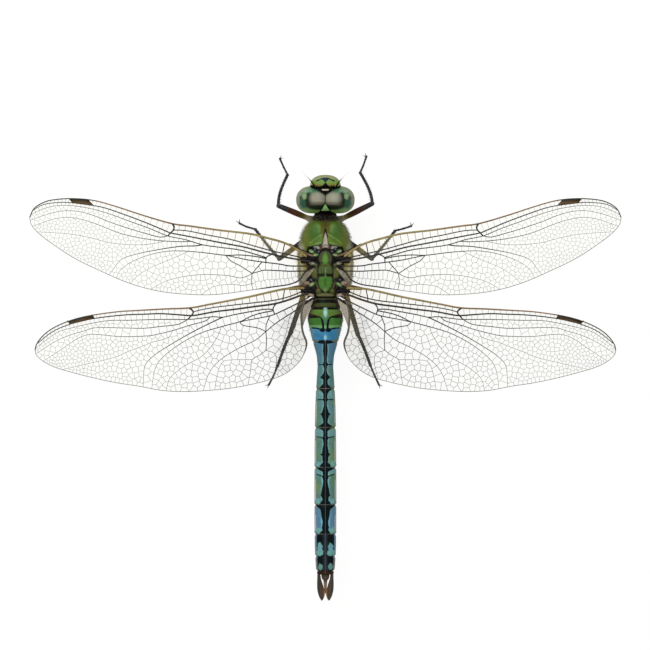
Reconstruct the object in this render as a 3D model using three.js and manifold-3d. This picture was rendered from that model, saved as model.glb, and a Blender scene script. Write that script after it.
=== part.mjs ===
// A large green and blue dragonfly, life size, standing on its six feet with its four wings spread.
// Millimetres, +Z up. The head points along -Y, the animal's left side is +X, and the feet stand at z = 0.
// Lengths along the body are measured from the joint of thorax and abdomen, which is y = 0 until the end,
// where the whole animal is centred over the origin.
import * as THREE from "three";
import { mergeVertices } from "three/addons/utils/BufferGeometryUtils.js";
import Module from "manifold-3d";

const wasm = await Module();
wasm.setup();

// ---- Driving dimensions ----
const GAP = 0.06; // between neighbouring plates, so that each stays a solid of its own
const BODY_SIDES = 20; // points round the thorax and abdomen
const LEG_SIDES = 8; // points round a leg or feeler
const WING_THICKNESS = 0.5;
const WING_STATIONS = 20; // strips from the root of a wing to its tip
const WING_STRIPS = 4; // strips from its leading edge to its trailing edge
const FORE_WING = { rootHeight: 12.9, dihedral: 2.5, camber: 0.25 };
const HIND_WING = { rootHeight: 12.3, dihedral: 1.5, camber: 0.35 };
const LEG_RADIUS = { coxa: 0.85, femur: 0.47, knee: 0.4, tibia: 0.3, tarsus: 0.26 };
const FOOT_HEIGHT = 0.12; // height of the middle of a foot that lies on the ground

// The thorax from front to back: [y, half width, height of the top, height of the underside].
const THORAX = [
  [-14.25, 2.5, 10.4, 5.6],
  [-13.8, 3.0, 11.2, 4.7],
  [-13.2, 3.55, 11.9, 4.1],
  [-12.3, 4.05, 12.6, 3.6],
  [-11.2, 4.45, 13.2, 3.3],
  [-9.6, 4.7, 13.8, 3.2],
  [-8.2, 4.8, 13.55, 3.3],
  [-6.2, 4.8, 13.2, 3.6],
  [-4.2, 4.75, 13.15, 4.4],
  [-2.4, 4.4, 13.0, 5.5],
  [-1.1, 3.8, 12.8, 6.5],
  [-0.3, 3.0, 12.2, 7.3],
];

// The abdomen's outline in the same form: swollen behind the joint, with a waist in its third segment.
const ABDOMEN = [
  [0, 2.3, 11.6, 7.6],
  [1.3, 2.6, 11.8, 7.3],
  [3.6, 3.27, 11.9, 6.9],
  [5.8, 2.8, 11.8, 7.0],
  [8.0, 2.2, 11.4, 7.3],
  [10.4, 1.6, 11.0, 7.7],
  [12.4, 1.42, 10.9, 7.8],
  [15, 1.6, 10.9, 7.7],
  [20, 1.82, 10.9, 7.5],
  [27, 1.93, 10.75, 7.3],
  [35, 1.97, 10.5, 7.05],
  [41, 1.95, 10.3, 6.9],
  [45.5, 1.88, 10.1, 6.85],
  [49.4, 1.63, 9.8, 6.9],
  [50.4, 1.5, 9.55, 7.1],
];
// Where each of its ten segments ends. The third to the seventh are the long ones.
const SEGMENT_ENDS = [2.09, 8.0, 16.55, 23.64, 30.91, 37.73, 43.09, 47.09, 49.82, 50.4];
const RIM_PINCH = 0.92; // each segment draws in a little where it meets the next

// Wing outlines as [x, y] points for a smooth curve, root to tip, for the left side.
const FORE_LEADING = [
  [2.2, -7.0], [3.7, -7.65], [6.4, -9.55], [10, -10.75], [13.7, -11.65], [19.2, -12.3], [24.6, -13.05],
  [27.9, -13.5], [32.8, -14.9], [38.2, -16.65], [41.9, -17.65], [45.5, -18], [48.8, -17.85],
  [51, -17.35], [52.8, -16.2], [53.6, -14.4],
];
const FORE_TRAILING = [
  [2.2, -5.4], [3.7, -4.75], [4.6, -3.4], [6.4, -2.5], [10, -1.95], [15.5, -1.15], [20, -0.6],
  [24.6, -0.65], [30, -1.2], [35.5, -2.65], [41, -5], [45.5, -7.2], [49.2, -9.6], [51.9, -11.65],
  [53.3, -13.3], [53.6, -14.2],
];
const HIND_LEADING = [
  [2.4, -1.7], [4.6, -1.8], [7.3, -1.65], [10, -1.1], [13.7, -0.25], [17.3, 0.45], [21, 1.15],
  [24.6, 1.8], [29.2, 2], [33.7, 2.25], [37.7, 2.5], [42.4, 3.15], [45.5, 3.85], [48.2, 4.85],
  [50.1, 5.9], [51.5, 7.1], [52.5, 8.45], [52.7, 9.4],
];
const HIND_TRAILING = [
  [2.4, -0.5], [4.05, 1.3], [4.35, 4], [3.4, 8.3], [4.6, 11.45], [8.2, 14.2], [13.7, 15.75],
  [17.3, 16.4], [21.9, 16.85], [26.4, 17], [30, 16.75], [33.7, 16.05], [38.2, 15.35], [42.8, 14.35],
  [46.4, 13.4], [49.3, 12.5], [51.3, 11.45], [52.5, 10.3], [52.7, 9.6],
];

// Each leg as its joints [x, y, z]: root, femur start, knee, ankle, then the foot's joints and claw tip.
const LEGS = {
  leg_fore_left: [
    [1.5, -14.0, 4.7], [3.5, -14.5, 4.9], [8.55, -16.8, 6.1], [6.9, -22.7, 1.2],
    [7.7, -24.2, FOOT_HEIGHT], [8.3, -25.2, FOOT_HEIGHT], [8.0, -26.1, FOOT_HEIGHT],
  ],
  leg_fore_right: [
    [-1.5, -14.0, 4.7], [-3.6, -14.5, 4.9], [-8.55, -17.3, 6.1], [-6.4, -23.1, 1.2],
    [-7.0, -24.4, FOOT_HEIGHT], [-7.5, -25.7, FOOT_HEIGHT], [-7.2, -26.5, FOOT_HEIGHT],
  ],
  leg_mid_left: [
    [1.3, -11.9, 3.7], [3.1, -11.3, 3.5], [8.45, -7.2, 6.3], [12.9, -12.7, 1.2],
    [14.6, -13.2, FOOT_HEIGHT], [15.8, -13.8, FOOT_HEIGHT], [16.2, -14.6, FOOT_HEIGHT],
  ],
  leg_mid_right: [
    [-1.3, -11.9, 3.7], [-3.1, -11.3, 3.5], [-8.5, -7.2, 6.3], [-12.8, -12.4, 1.2],
    [-14.6, -12.9, FOOT_HEIGHT], [-15.8, -13.3, FOOT_HEIGHT], [-16.0, -14.1, FOOT_HEIGHT],
  ],
  leg_hind_left: [
    [1.5, -7.2, 3.7], [2.7, -4.6, 3.7], [6.45, 6.55, 7.2], [8.8, 12.5, 1.4],
    [9.7, 14.6, FOOT_HEIGHT], [10.4, 15.9, FOOT_HEIGHT], [11.0, 16.4, FOOT_HEIGHT],
  ],
  leg_hind_right: [
    [-1.5, -7.2, 3.7], [-2.7, -4.6, 3.7], [-5.95, 6.7, 7.2], [-8.3, 12.4, 1.4],
    [-9.2, 14.5, FOOT_HEIGHT], [-9.85, 15.9, FOOT_HEIGHT], [-10.4, 16.5, FOOT_HEIGHT],
  ],
};

// ---- Colours ----
const GREEN = new THREE.Color("#4f7a2a");
const BLUE = new THREE.Color("#3f83b0");
const EYE = new THREE.Color("#4d6a58");
const BLACK = new THREE.Color("#2c2b29");
const BROWN = new THREE.Color("#4a3a2c");
const MEMBRANE = new THREE.Color("#dcdccb");

const dragonfly = new THREE.Group();

function addPart(name, geometry, color, roughness = 0.4, opacity = 1) {
  const material = new THREE.MeshStandardMaterial({ color, roughness, metalness: 0 });
  material.transparent = opacity < 1;
  material.opacity = opacity;
  geometry.computeVertexNormals();
  const mesh = new THREE.Mesh(geometry, material);
  mesh.name = name;
  dragonfly.add(mesh);
}

// ---- Closed surfaces and their joins and cuts ----

// Six times the volume inside the faces: negative when they point inwards.
function windingSum(points, faces) {
  const edge = new THREE.Vector3();
  return faces.reduce((sum, [a, b, c]) => {
    edge.crossVectors(points[b], points[c]);
    return sum + points[a].dot(edge);
  }, 0);
}

// A closed surface through rings of points, each end closed by a fan round the middle of its ring.
function closedLoft(rings) {
  const sides = rings[0].length;
  const points = rings.flat();
  const faces = [];
  for (let ring = 0; ring + 1 < rings.length; ring++) {
    for (let side = 0; side < sides; side++) {
      const next = (side + 1) % sides;
      const [here, beyond] = [ring * sides, (ring + 1) * sides];
      faces.push([here + side, here + next, beyond + next]);
      faces.push([here + side, beyond + next, beyond + side]);
    }
  }
  for (const [start, turn] of [[0, 1], [(rings.length - 1) * sides, 0]]) {
    const middle = new THREE.Vector3();
    for (let side = 0; side < sides; side++) middle.addScaledVector(points[start + side], 1 / sides);
    const hub = points.push(middle) - 1;
    for (let side = 0; side < sides; side++) {
      const pair = [start + side, start + ((side + 1) % sides)];
      faces.push([hub, pair[turn], pair[1 - turn]]);
    }
  }
  if (windingSum(points, faces) < 0) faces.forEach((face) => face.reverse());
  const geometry = new THREE.BufferGeometry().setFromPoints(points);
  geometry.setIndex(faces.flat());
  return geometry;
}

function toSolid(geometry) {
  const bare = new THREE.BufferGeometry();
  bare.setAttribute("position", geometry.getAttribute("position"));
  bare.setIndex(geometry.index);
  const merged = mergeVertices(bare, 1e-4);
  const vertProperties = merged.getAttribute("position").array;
  const triVerts = new Uint32Array(merged.index.array);
  return new wasm.Manifold(new wasm.Mesh({ numProp: 3, vertProperties, triVerts }));
}

// The solid's largest body, because a cut can leave a crumb beside it.
function toGeometry(solid) {
  const [body] = solid.decompose().sort((a, b) => b.volume() - a.volume());
  const { vertProperties, triVerts } = body.getMesh();
  const geometry = new THREE.BufferGeometry();
  geometry.setAttribute("position", new THREE.BufferAttribute(vertProperties, 3));
  return geometry.setIndex(new THREE.BufferAttribute(triVerts, 1));
}

const join = (solids) => solids.reduce((whole, solid) => whole.add(solid));
const cut = (solid, cutters) => cutters.reduce((rest, cutter) => rest.subtract(cutter), solid);

// ---- Thorax and abdomen: rings across the body ----

// The profile's values at a place along the body, between its stations.
function profileAt(profile, y) {
  const last = profile.length - 2;
  const index = Math.min(last, Math.max(0, profile.findIndex((station) => station[0] > y) - 1));
  const station = y >= profile[last + 1][0] ? last : index;
  const [before, after] = [profile[station], profile[station + 1]];
  const share = THREE.MathUtils.clamp((y - before[0]) / (after[0] - before[0]), 0, 1);
  const eased = THREE.MathUtils.smoothstep(share, 0, 1) * 0.35 + share * 0.65;
  return before.map((value, i) => THREE.MathUtils.lerp(value, after[i], eased));
}

// One ring across the body, drawn in towards the belly, grown all round by the given margin.
function bodyRing(y, halfWidth, top, underside, margin = 0, bellyTaper = 0) {
  const middle = THREE.MathUtils.lerp(underside, top, 0.48);
  const ring = [];
  for (let side = 0; side < BODY_SIDES; side++) {
    const angle = (side / BODY_SIDES) * 2 * Math.PI;
    const [across, up] = [Math.cos(angle), Math.sin(angle)];
    const reach = (up > 0 ? top - middle : middle - underside) + margin;
    const narrowing = up < 0 ? 1 - bellyTaper * up * up : 1;
    const x = (halfWidth * narrowing + margin) * across;
    ring.push(new THREE.Vector3(x, y, middle + reach * up));
  }
  return ring;
}

const BELLY_TAPER = 0.35; // the thorax is egg shaped from the front, narrow between the legs

function thoraxSolid(margin) {
  const rings = THORAX.map(([y, halfWidth, top, underside], index) => {
    const end = index === 0 ? -margin : index === THORAX.length - 1 ? margin : 0;
    return bodyRing(y + end, halfWidth, top, underside, margin, BELLY_TAPER);
  });
  return toSolid(closedLoft(rings));
}
const thorax = thoraxSolid(0);
const thoraxRoom = thoraxSolid(GAP);
addPart("thorax", toGeometry(thorax), GREEN);

function abdomenSegment(index) {
  const front = index === 0 ? 0 : SEGMENT_ENDS[index - 1];
  const back = SEGMENT_ENDS[index];
  const [start, end] = [front + GAP / 2, back - GAP / 2];
  const rimDepth = Math.min(0.45, (end - start) / 4);
  const middles = back - front > 5 ? [0.3, 0.65] : [0.5];
  const places = [start, start + rimDepth, ...middles.map((share) => start + (end - start) * share)];
  places.push(end - rimDepth, end);
  const rings = places.map((y, i) => {
    const [, halfWidth, top, underside] = profileAt(ABDOMEN, y);
    const pinch = i === 0 || i === places.length - 1 ? RIM_PINCH : 1;
    const centre = (top + underside) / 2;
    const halfHeight = ((top - underside) / 2) * pinch;
    return bodyRing(y, halfWidth * pinch, centre + halfHeight, centre - halfHeight);
  });
  return closedLoft(rings);
}
SEGMENT_ENDS.forEach((_, index) => {
  const name = "abdomen_" + String(index + 1).padStart(2, "0");
  addPart(name, abdomenSegment(index), index < 7 ? BLUE : BLACK);
});

// ---- Tubes: legs, feelers and claspers ----

// A tapering tube along points [x, y, z], with a radius at each and rounded ends. Where it would go under
// the ground it lies flat on it.
function taperedTube(points, radii, flatten = 1, sides = LEG_SIDES) {
  const path = points.map((point) => new THREE.Vector3(...point));
  const frames = path.map((point, index) => {
    const before = path[Math.max(0, index - 1)];
    const after = path[Math.min(path.length - 1, index + 1)];
    return after.clone().sub(before).normalize();
  });
  const ringAt = (point, along, radius) => {
    const across = new THREE.Vector3(0, 0, 1).cross(along).normalize();
    const up = along.clone().cross(across);
    return Array.from({ length: sides }, (_, side) => {
      const angle = (side / sides) * 2 * Math.PI;
      const place = point.clone().addScaledVector(across, radius * Math.cos(angle));
      place.addScaledVector(up, radius * flatten * Math.sin(angle));
      place.z = Math.max(place.z, 0);
      return place;
    });
  };
  const last = path.length - 1;
  const rings = path.map((point, index) => ringAt(point, frames[index], radii[index]));
  const nose = path[0].clone().addScaledVector(frames[0], -radii[0] * 0.45);
  const tail = path[last].clone().addScaledVector(frames[last], radii[last] * 0.45);
  rings.unshift(ringAt(nose, frames[0], radii[0] * 0.6));
  rings.push(ringAt(tail, frames[last], radii[last] * 0.6));
  return closedLoft(rings);
}

// Points spread evenly between two joints, kept clear of both by the given distances.
function stretch(from, to, clearStart, clearEnd, count) {
  const [start, end] = [new THREE.Vector3(...from), new THREE.Vector3(...to)];
  const along = end.clone().sub(start).normalize();
  start.addScaledVector(along, clearStart);
  end.addScaledVector(along, -clearEnd);
  return Array.from({ length: count }, (_, i) => start.clone().lerp(end, i / (count - 1)).toArray());
}

for (const [leg, [root, hip, knee, ankle, ...foot]] of Object.entries(LEGS)) {
  const { coxa, femur, knee: kneeRadius, tibia, tarsus } = LEG_RADIUS;
  const coxaTube = taperedTube(stretch(root, hip, 0, 0.2, 3), [coxa, coxa, femur * 1.15]);
  const femurClear = 0.2 + femur + GAP;
  const femurTube = taperedTube(stretch(hip, knee, femurClear, 0, 4),
    [femur * 0.9, femur, femur * 0.95, kneeRadius]);
  const tibiaTube = taperedTube(stretch(knee, ankle, kneeRadius + tibia + GAP, 0, 3),
    [tibia, tibia * 0.95, tibia * 0.9]);
  const [instep, toe, claw] = foot;
  const heel = stretch(ankle, instep, 2 * tarsus + 0.05 + GAP, 0, 2)[0];
  const tarsusTube = taperedTube([heel, instep, toe, claw], [tarsus, tarsus, tarsus, tarsus * 0.85]);
  addPart(leg + "_coxa", toGeometry(cut(toSolid(coxaTube), [thoraxRoom])), BROWN);
  addPart(leg + "_femur", toGeometry(cut(toSolid(femurTube), [thoraxRoom])), BLACK);
  addPart(leg + "_tibia", tibiaTube, BLACK);
  addPart(leg + "_tarsus", tarsusTube, BLACK);
}

// ---- Wings: thin cambered plates between their two edges ----

function wingPlate(leading, trailing, { rootHeight, dihedral, camber }) {
  const curve = (outline) => new THREE.SplineCurve(outline.map(([x, y]) => new THREE.Vector2(x, y)));
  const [front, back] = [curve(leading), curve(trailing)];
  const rings = [];
  for (let station = 0; station <= WING_STATIONS; station++) {
    const share = Math.sin((station / WING_STATIONS) * Math.PI / 2);
    const [from, to] = [front.getPoint(share), back.getPoint(share)];
    const upper = [];
    const lower = [];
    for (let strip = 0; strip <= WING_STRIPS; strip++) {
      const across = strip / WING_STRIPS;
      const place = from.clone().lerp(to, across);
      const rise = (place.x - leading[0][0]) * Math.tan(THREE.MathUtils.degToRad(dihedral));
      const arch = camber * Math.sin(across * Math.PI) * Math.sin(share * Math.PI);
      const height = rootHeight + rise + arch;
      upper.push(new THREE.Vector3(place.x, place.y, height + WING_THICKNESS / 2));
      lower.push(new THREE.Vector3(place.x, place.y, height - WING_THICKNESS / 2));
    }
    rings.push([...upper, ...lower.reverse()]);
  }
  return closedLoft(rings);
}

function mirrored(geometry) {
  const copy = geometry.clone().applyMatrix4(new THREE.Matrix4().makeScale(-1, 1, 1));
  const index = copy.index.array;
  for (let i = 0; i < index.length; i += 3) [index[i + 1], index[i + 2]] = [index[i + 2], index[i + 1]];
  return copy;
}

const abdomenRoom = toSolid(closedLoft([0, 2, 4, 6, 8].map((y) => {
  const [, halfWidth, top, underside] = profileAt(ABDOMEN, y);
  return bodyRing(y, halfWidth, top, underside, GAP);
})));
for (const [pair, leading, trailing, plan] of [
  ["fore", FORE_LEADING, FORE_TRAILING, FORE_WING],
  ["hind", HIND_LEADING, HIND_TRAILING, HIND_WING],
]) {
  const plate = cut(toSolid(wingPlate(leading, trailing, plan)), [thoraxRoom, abdomenRoom]);
  const left = toGeometry(plate);
  addPart(`wing_${pair}_left`, left, MEMBRANE, 0.3, 0.5);
  addPart(`wing_${pair}_right`, mirrored(left), MEMBRANE, 0.3, 0.5);
}

// ---- Head: swollen shapes joined and parted from one another ----

// A rounded body, squarer than an ellipsoid when the power is above 2, grown by the margin.
function blob(centre, radii, { power = 2.2, margin = 0, roll = 0, around = 14, levels = 6 } = {}) {
  const soften = (value) => Math.sign(value) * Math.abs(value) ** (2 / power);
  const turn = new THREE.Euler(0, THREE.MathUtils.degToRad(roll), 0);
  const rings = [];
  for (let level = 0; level <= levels; level++) {
    const latitude = THREE.MathUtils.lerp(-0.46, 0.46, level / levels) * Math.PI;
    rings.push(Array.from({ length: around }, (_, side) => {
      const angle = (side / around) * 2 * Math.PI;
      const girth = soften(Math.cos(latitude));
      const x = girth * soften(Math.cos(angle)) * (radii[0] + margin);
      const y = girth * soften(Math.sin(angle)) * (radii[1] + margin);
      const z = soften(Math.sin(latitude)) * (radii[2] + margin);
      return new THREE.Vector3(x, y, z).applyEuler(turn).add(new THREE.Vector3(...centre));
    }));
  }
  return toSolid(closedLoft(rings));
}

const EYE_SHAPE = { centre: [2.45, -17.93, 9.5], radii: [2.75, 2.5, 4.1], roll: 14 };

function eye(side, margin) {
  const [x, y, z] = EYE_SHAPE.centre;
  const options = { margin, roll: -side * EYE_SHAPE.roll, around: 16, levels: 10 };
  return blob([side * x, y, z], EYE_SHAPE.radii, options);
}

// Everything on one side of the middle plane, for eyes that meet on it.
function halfSpace(side) {
  const box = new THREE.BoxGeometry(20, 20, 20);
  box.translate(side * (10 + GAP / 2), EYE_SHAPE.centre[1], EYE_SHAPE.centre[2]);
  return toSolid(box);
}
const eyeRooms = [eye(1, GAP), eye(-1, GAP)];
addPart("eye_left", toGeometry(eye(1, 0).intersect(halfSpace(1))), EYE, 0.25);
addPart("eye_right", toGeometry(eye(-1, 0).intersect(halfSpace(-1))), EYE, 0.25);

// The skull plate between and behind the eyes, with the raised vertex in front and the occiput behind.
function skull(margin) {
  return join([
    blob([0, -17.2, 8.7], [3.0, 1.9, 3.5], { margin }),
    blob([0, -19.5, 12.3], [1.5, 0.9, 0.75], { margin, around: 10, levels: 5 }),
    blob([0, -16.4, 12.0], [0.8, 0.7, 0.9], { margin, around: 10, levels: 5 }),
  ]);
}
addPart("head", toGeometry(cut(skull(0), eyeRooms)), BLACK);

// Frons, clypeus and labrum, one below the other down the face.
function face(margin) {
  return join([
    blob([0, -20.25, 11.9], [2.8, 2.1, 1.35], { margin }),
    blob([0, -19.9, 9.9], [2.6, 2.0, 1.5], { margin }),
    blob([0, -19.5, 7.9], [2.2, 1.8, 1.4], { margin }),
  ]);
}
addPart("face", toGeometry(cut(face(0), [...eyeRooms, skull(GAP)])), GREEN);

// Mandibles and labium under the head.
const mouth = blob([0, -18.3, 6.0], [2.3, 2.1, 1.25], { around: 12, levels: 5 });
addPart("mouth", toGeometry(cut(mouth, [...eyeRooms, skull(GAP), face(GAP)])), BROWN);

// Each feeler: a thick base and a bristle that runs forward and out past the face.
for (const [name, side] of [["left", 1], ["right", -1]]) {
  const feeler = taperedTube(
    [[side * 1.9, -20.3, 12.6], [side * 2.3, -20.8, 13.5], [side * 2.75, -21.4, 14], [side * 4.35, -22.9, 14.7]],
    [0.32, 0.3, 0.26, 0.25]);
  addPart("antenna_" + name, toGeometry(cut(toSolid(feeler), [...eyeRooms, face(GAP), skull(GAP)])), BLACK);
}

// ---- Neck and prothorax, between the head and the thorax ----
const neckEnds = [[-15.8, 1.7, 9.8, 6.6], [-15.2, 1.8, 10, 6.6], [-14.97, 1.9, 10.1, 6.5]];
const neck = toSolid(closedLoft(neckEnds.map((station) => bodyRing(...station))));
addPart("neck", toGeometry(cut(neck, [skull(GAP), ...eyeRooms])), BROWN);
const prothoraxEnds = [[-14.9, 1.9, 10.3, 5.6], [-14.65, 2.45, 10.8, 5.1], [-14.37, 2.4, 10.7, 5.1]];
const prothorax = toSolid(closedLoft(prothoraxEnds.map((station) => bodyRing(...station))));
addPart("prothorax", toGeometry(cut(prothorax, eyeRooms)), BROWN);

// ---- Tail end: two claspers with the shorter lower appendage between them ----
const TAIL = SEGMENT_ENDS[SEGMENT_ENDS.length - 1] + GAP;
for (const [name, side] of [["left", 1], ["right", -1]]) {
  const clasper = taperedTube(
    [[side * 1.0, TAIL + 0.3, 8.7], [side * 0.95, TAIL + 1.6, 8.65], [side * 0.9, TAIL + 3.2, 8.55],
      [side * 0.8, 54.7, 8.5]],
    [0.5, 0.58, 0.6, 0.4], 0.6);
  addPart("cercus_" + name, clasper, BROWN);
}
const lowerAppendage = taperedTube(
  [[0, TAIL + 0.3, 7.6], [0, TAIL + 1.2, 7.55], [0, TAIL + 3.0, 7.6]], [0.75, 0.7, 0.35], 0.5);
addPart("epiproct", lowerAppendage, BROWN);

// ---- Placing: the middle of the whole animal over the origin, its feet on z = 0 ----
const extent = new THREE.Box3().setFromObject(dragonfly);
const middle = extent.getCenter(new THREE.Vector3());
dragonfly.position.set(-middle.x, -middle.y, -extent.min.z);

export default dragonfly;
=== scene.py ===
import functools
import math
import random

import bpy
import numpy as np
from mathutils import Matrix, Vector, kdtree
from mathutils.geometry import delaunay_2d_cdt


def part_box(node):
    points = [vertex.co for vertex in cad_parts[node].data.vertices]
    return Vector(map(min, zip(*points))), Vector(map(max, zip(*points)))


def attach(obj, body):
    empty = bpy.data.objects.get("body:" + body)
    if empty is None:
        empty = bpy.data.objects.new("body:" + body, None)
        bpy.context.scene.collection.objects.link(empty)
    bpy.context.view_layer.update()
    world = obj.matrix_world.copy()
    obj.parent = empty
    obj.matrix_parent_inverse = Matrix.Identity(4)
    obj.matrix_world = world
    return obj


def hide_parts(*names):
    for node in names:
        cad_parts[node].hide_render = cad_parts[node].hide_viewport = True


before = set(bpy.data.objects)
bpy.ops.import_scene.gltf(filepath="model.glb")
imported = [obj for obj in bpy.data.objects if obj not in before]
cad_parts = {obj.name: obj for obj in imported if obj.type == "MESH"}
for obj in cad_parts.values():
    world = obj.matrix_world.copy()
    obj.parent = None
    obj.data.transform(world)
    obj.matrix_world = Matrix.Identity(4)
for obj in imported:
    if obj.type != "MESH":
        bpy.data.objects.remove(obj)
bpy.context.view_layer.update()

# ---- The table, the light and the camera ----
# The animal stands on a plain pale sheet in an even tent of light, so that hardly a shadow falls. It is
# seen straight from above with its head at the top, the way a set specimen is recorded.

# Lengths are millimetres, and places along the body are counted from the joint of thorax and abdomen,
# which lies a hair in front of the first abdominal plate. at() puts a point in the frame's own metres.
MM = 0.001
JOINT_GAP = 0.03
joint_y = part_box("abdomen_01")[0].y - JOINT_GAP * MM


def at(x, y, z):
    return Vector((x * MM, y * MM + joint_y, z * MM))


VIEW_WIDTH = 118.2
VIEW_CENTRE = (0.07, 4.91)
WING_LEVEL = 12
LENS = 300
SENSOR = 36

camera_data = bpy.data.cameras.new("camera")
camera_data.lens = LENS
camera_data.sensor_width = SENSOR
camera_data.clip_end = 10
camera = bpy.data.objects.new("camera", camera_data)
camera.location = at(*VIEW_CENTRE, WING_LEVEL + VIEW_WIDTH * LENS / SENSOR)
camera.rotation_euler = (0, 0, math.pi)
bpy.context.scene.collection.objects.link(camera)
bpy.context.scene.camera = camera
bpy.context.scene.view_settings.view_transform = "Standard"

WHITE = (1, 1, 1, 1)
TENT_STRENGTH = 0.56
LAMP_POWER = 1.1  # watts
LAMP_SIDE = 300
LAMP_PLACE = (110, -210, 380)
LAMP_AIM = (0, 0, 8)

world = bpy.data.worlds.new("tent")
world.use_nodes = True
tent = world.node_tree.nodes["Background"]
tent.inputs["Color"].default_value = WHITE
tent.inputs["Strength"].default_value = TENT_STRENGTH
bpy.context.scene.world = world

lamp_data = bpy.data.lights.new("soft_box", "AREA")
lamp_data.energy = LAMP_POWER
lamp_data.size = LAMP_SIDE * MM
lamp = bpy.data.objects.new("soft_box", lamp_data)
lamp.location = at(*LAMP_PLACE)
lamp.rotation_euler = (at(*LAMP_AIM) - lamp.location).to_track_quat("-Z", "Y").to_euler()
bpy.context.scene.collection.objects.link(lamp)


class Tone:
    """A value or colour that varies over a surface: one socket of a material. Arithmetic on it adds Math
    nodes, mix() blends colours by it, and node() adds a node of any other kind. A colour that stays the
    same is a string of six hexadecimal figures."""

    def __init__(self, tree, socket=None):
        self.tree = tree
        self.socket = socket

    def node(self, kind, settings=None, values=None, output=0):
        made = self.tree.nodes.new(kind)
        for key, value in (settings or {}).items():
            if key == "stops":
                lay_stops(made.color_ramp.elements, value)
            else:
                setattr(made, key, value)
        for key, value in (values or {}).items():
            if isinstance(value, Tone):
                self.tree.links.new(value.socket, made.inputs[key])
            else:
                made.inputs[key].default_value = shade(value) if isinstance(value, str) else value
        return Tone(self.tree, made.outputs[output])

    def maths(self, operation, *values):
        return self.node("ShaderNodeMath", {"operation": operation}, dict(enumerate(values)))

    def __add__(self, other):
        return self.maths("ADD", self, other)

    __radd__ = __add__

    def __sub__(self, other):
        return self.maths("SUBTRACT", self, other)

    def __rsub__(self, other):
        return self.maths("SUBTRACT", other, self)

    def __mul__(self, other):
        return self.maths("MULTIPLY", self, other)

    __rmul__ = __mul__

    def __truediv__(self, other):
        return self.maths("DIVIDE", self, other)

    def __abs__(self):
        return self.maths("ABSOLUTE", self)

    def step(self, low, high):
        """0 up to low, 1 from high on, and a smooth rise between them. With low above high it falls."""
        values = {"Value": self, "From Min": low, "From Max": high}
        return self.node("ShaderNodeMapRange", {"interpolation_type": "SMOOTHSTEP"}, values)

    def mix(self, without, full):
        """The colour full where this is 1, and the colour without where it is 0."""
        return self.node("ShaderNodeMix", {"data_type": "RGBA"}, {0: self, 6: without, 7: full}, 2)

    def ramp(self, stops):
        """The colour for this value between stops of (place, colour)."""
        return self.node("ShaderNodeValToRGB", {"stops": stops}, {"Fac": self})


def lay_stops(elements, stops):
    while len(elements) < len(stops):
        elements.new(1)
    for element, (place, value) in zip(elements, stops):
        element.position = place
        element.color = shade(value) if isinstance(value, str) else (value, value, value, 1)


def shade(code):
    """The linear colour of a six-figure sRGB code, by the standard's curve."""
    parts = [int(code[i : i + 2], 16) / 255 for i in (0, 2, 4)]
    linear = [p / 12.92 if p <= 0.04045 else ((p + 0.055) / 1.055) ** 2.4 for p in parts]
    return (*linear, 1)


DULL_SPECULAR = 0.09  # of cuticle, unless its finish says otherwise


def new_finish(name, **constants):
    """A material with one Principled shader. Returns the material, the shader, and Tones of a surface
    point's place in metres and of its x, y and z in this file's millimetres."""
    material = bpy.data.materials.new(name)
    material.use_nodes = True
    shader = material.node_tree.nodes["Principled BSDF"]
    for key, value in {"Specular_IOR_Level": DULL_SPECULAR, **constants}.items():
        shader.inputs[key.replace("_", " ")].default_value = value
    place = Tone(material.node_tree).node("ShaderNodeTexCoord", output=3)
    x, y, z = [place.node("ShaderNodeSeparateXYZ", None, {0: place}, axis) / MM for axis in range(3)]
    return material, shader, place, x, y - joint_y / MM, z


def feed(shader, **tones):
    """Links each Tone to the shader's socket of that name."""
    for key, tone in tones.items():
        tone.tree.links.new(tone.socket, shader.inputs[key.replace("_", " ")])


def grain(place, size):
    """Noise with grains of about size millimetres, 0.5 on average."""
    return place.node("ShaderNodeTexNoise", None, {"Vector": place, "Scale": 1 / (size * MM), "Detail": 2})


def mark(place, name):
    """A number that the points of a piece carry."""
    return place.node("ShaderNodeAttribute", {"attribute_name": name}, output=2)


def bump(height, depth, strength=0.6):
    """A Normal that lifts the surface by height times depth millimetres."""
    values = {"Height": height, "Strength": strength, "Distance": depth * MM}
    return height.node("ShaderNodeBump", None, values)


SHEET_REACH = 1500 * MM  # each way from the middle
corners = [(x * SHEET_REACH, y * SHEET_REACH, 0) for x, y in ((-1, -1), (1, -1), (1, 1), (-1, 1))]
sheet_mesh = bpy.data.meshes.new("table_sheet")
sheet_mesh.from_pydata(corners, [], [(0, 1, 2, 3)])
sheet = bpy.data.objects.new("table_sheet", sheet_mesh)
bpy.context.scene.collection.objects.link(sheet)
# The sheet is lit from below as a light table is, but throws no glare on the animal.
sheet.visible_diffuse = False
sheet.visible_glossy = False

sheet_finish, shader, place, *_ = new_finish(
    "sheet_finish", Roughness=0.9, Emission_Color=WHITE, Emission_Strength=0.9
)
feed(shader, Base_Color=grain(place, 40).mix("656563", "686866"))
sheet_mesh.materials.append(sheet_finish)

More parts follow.
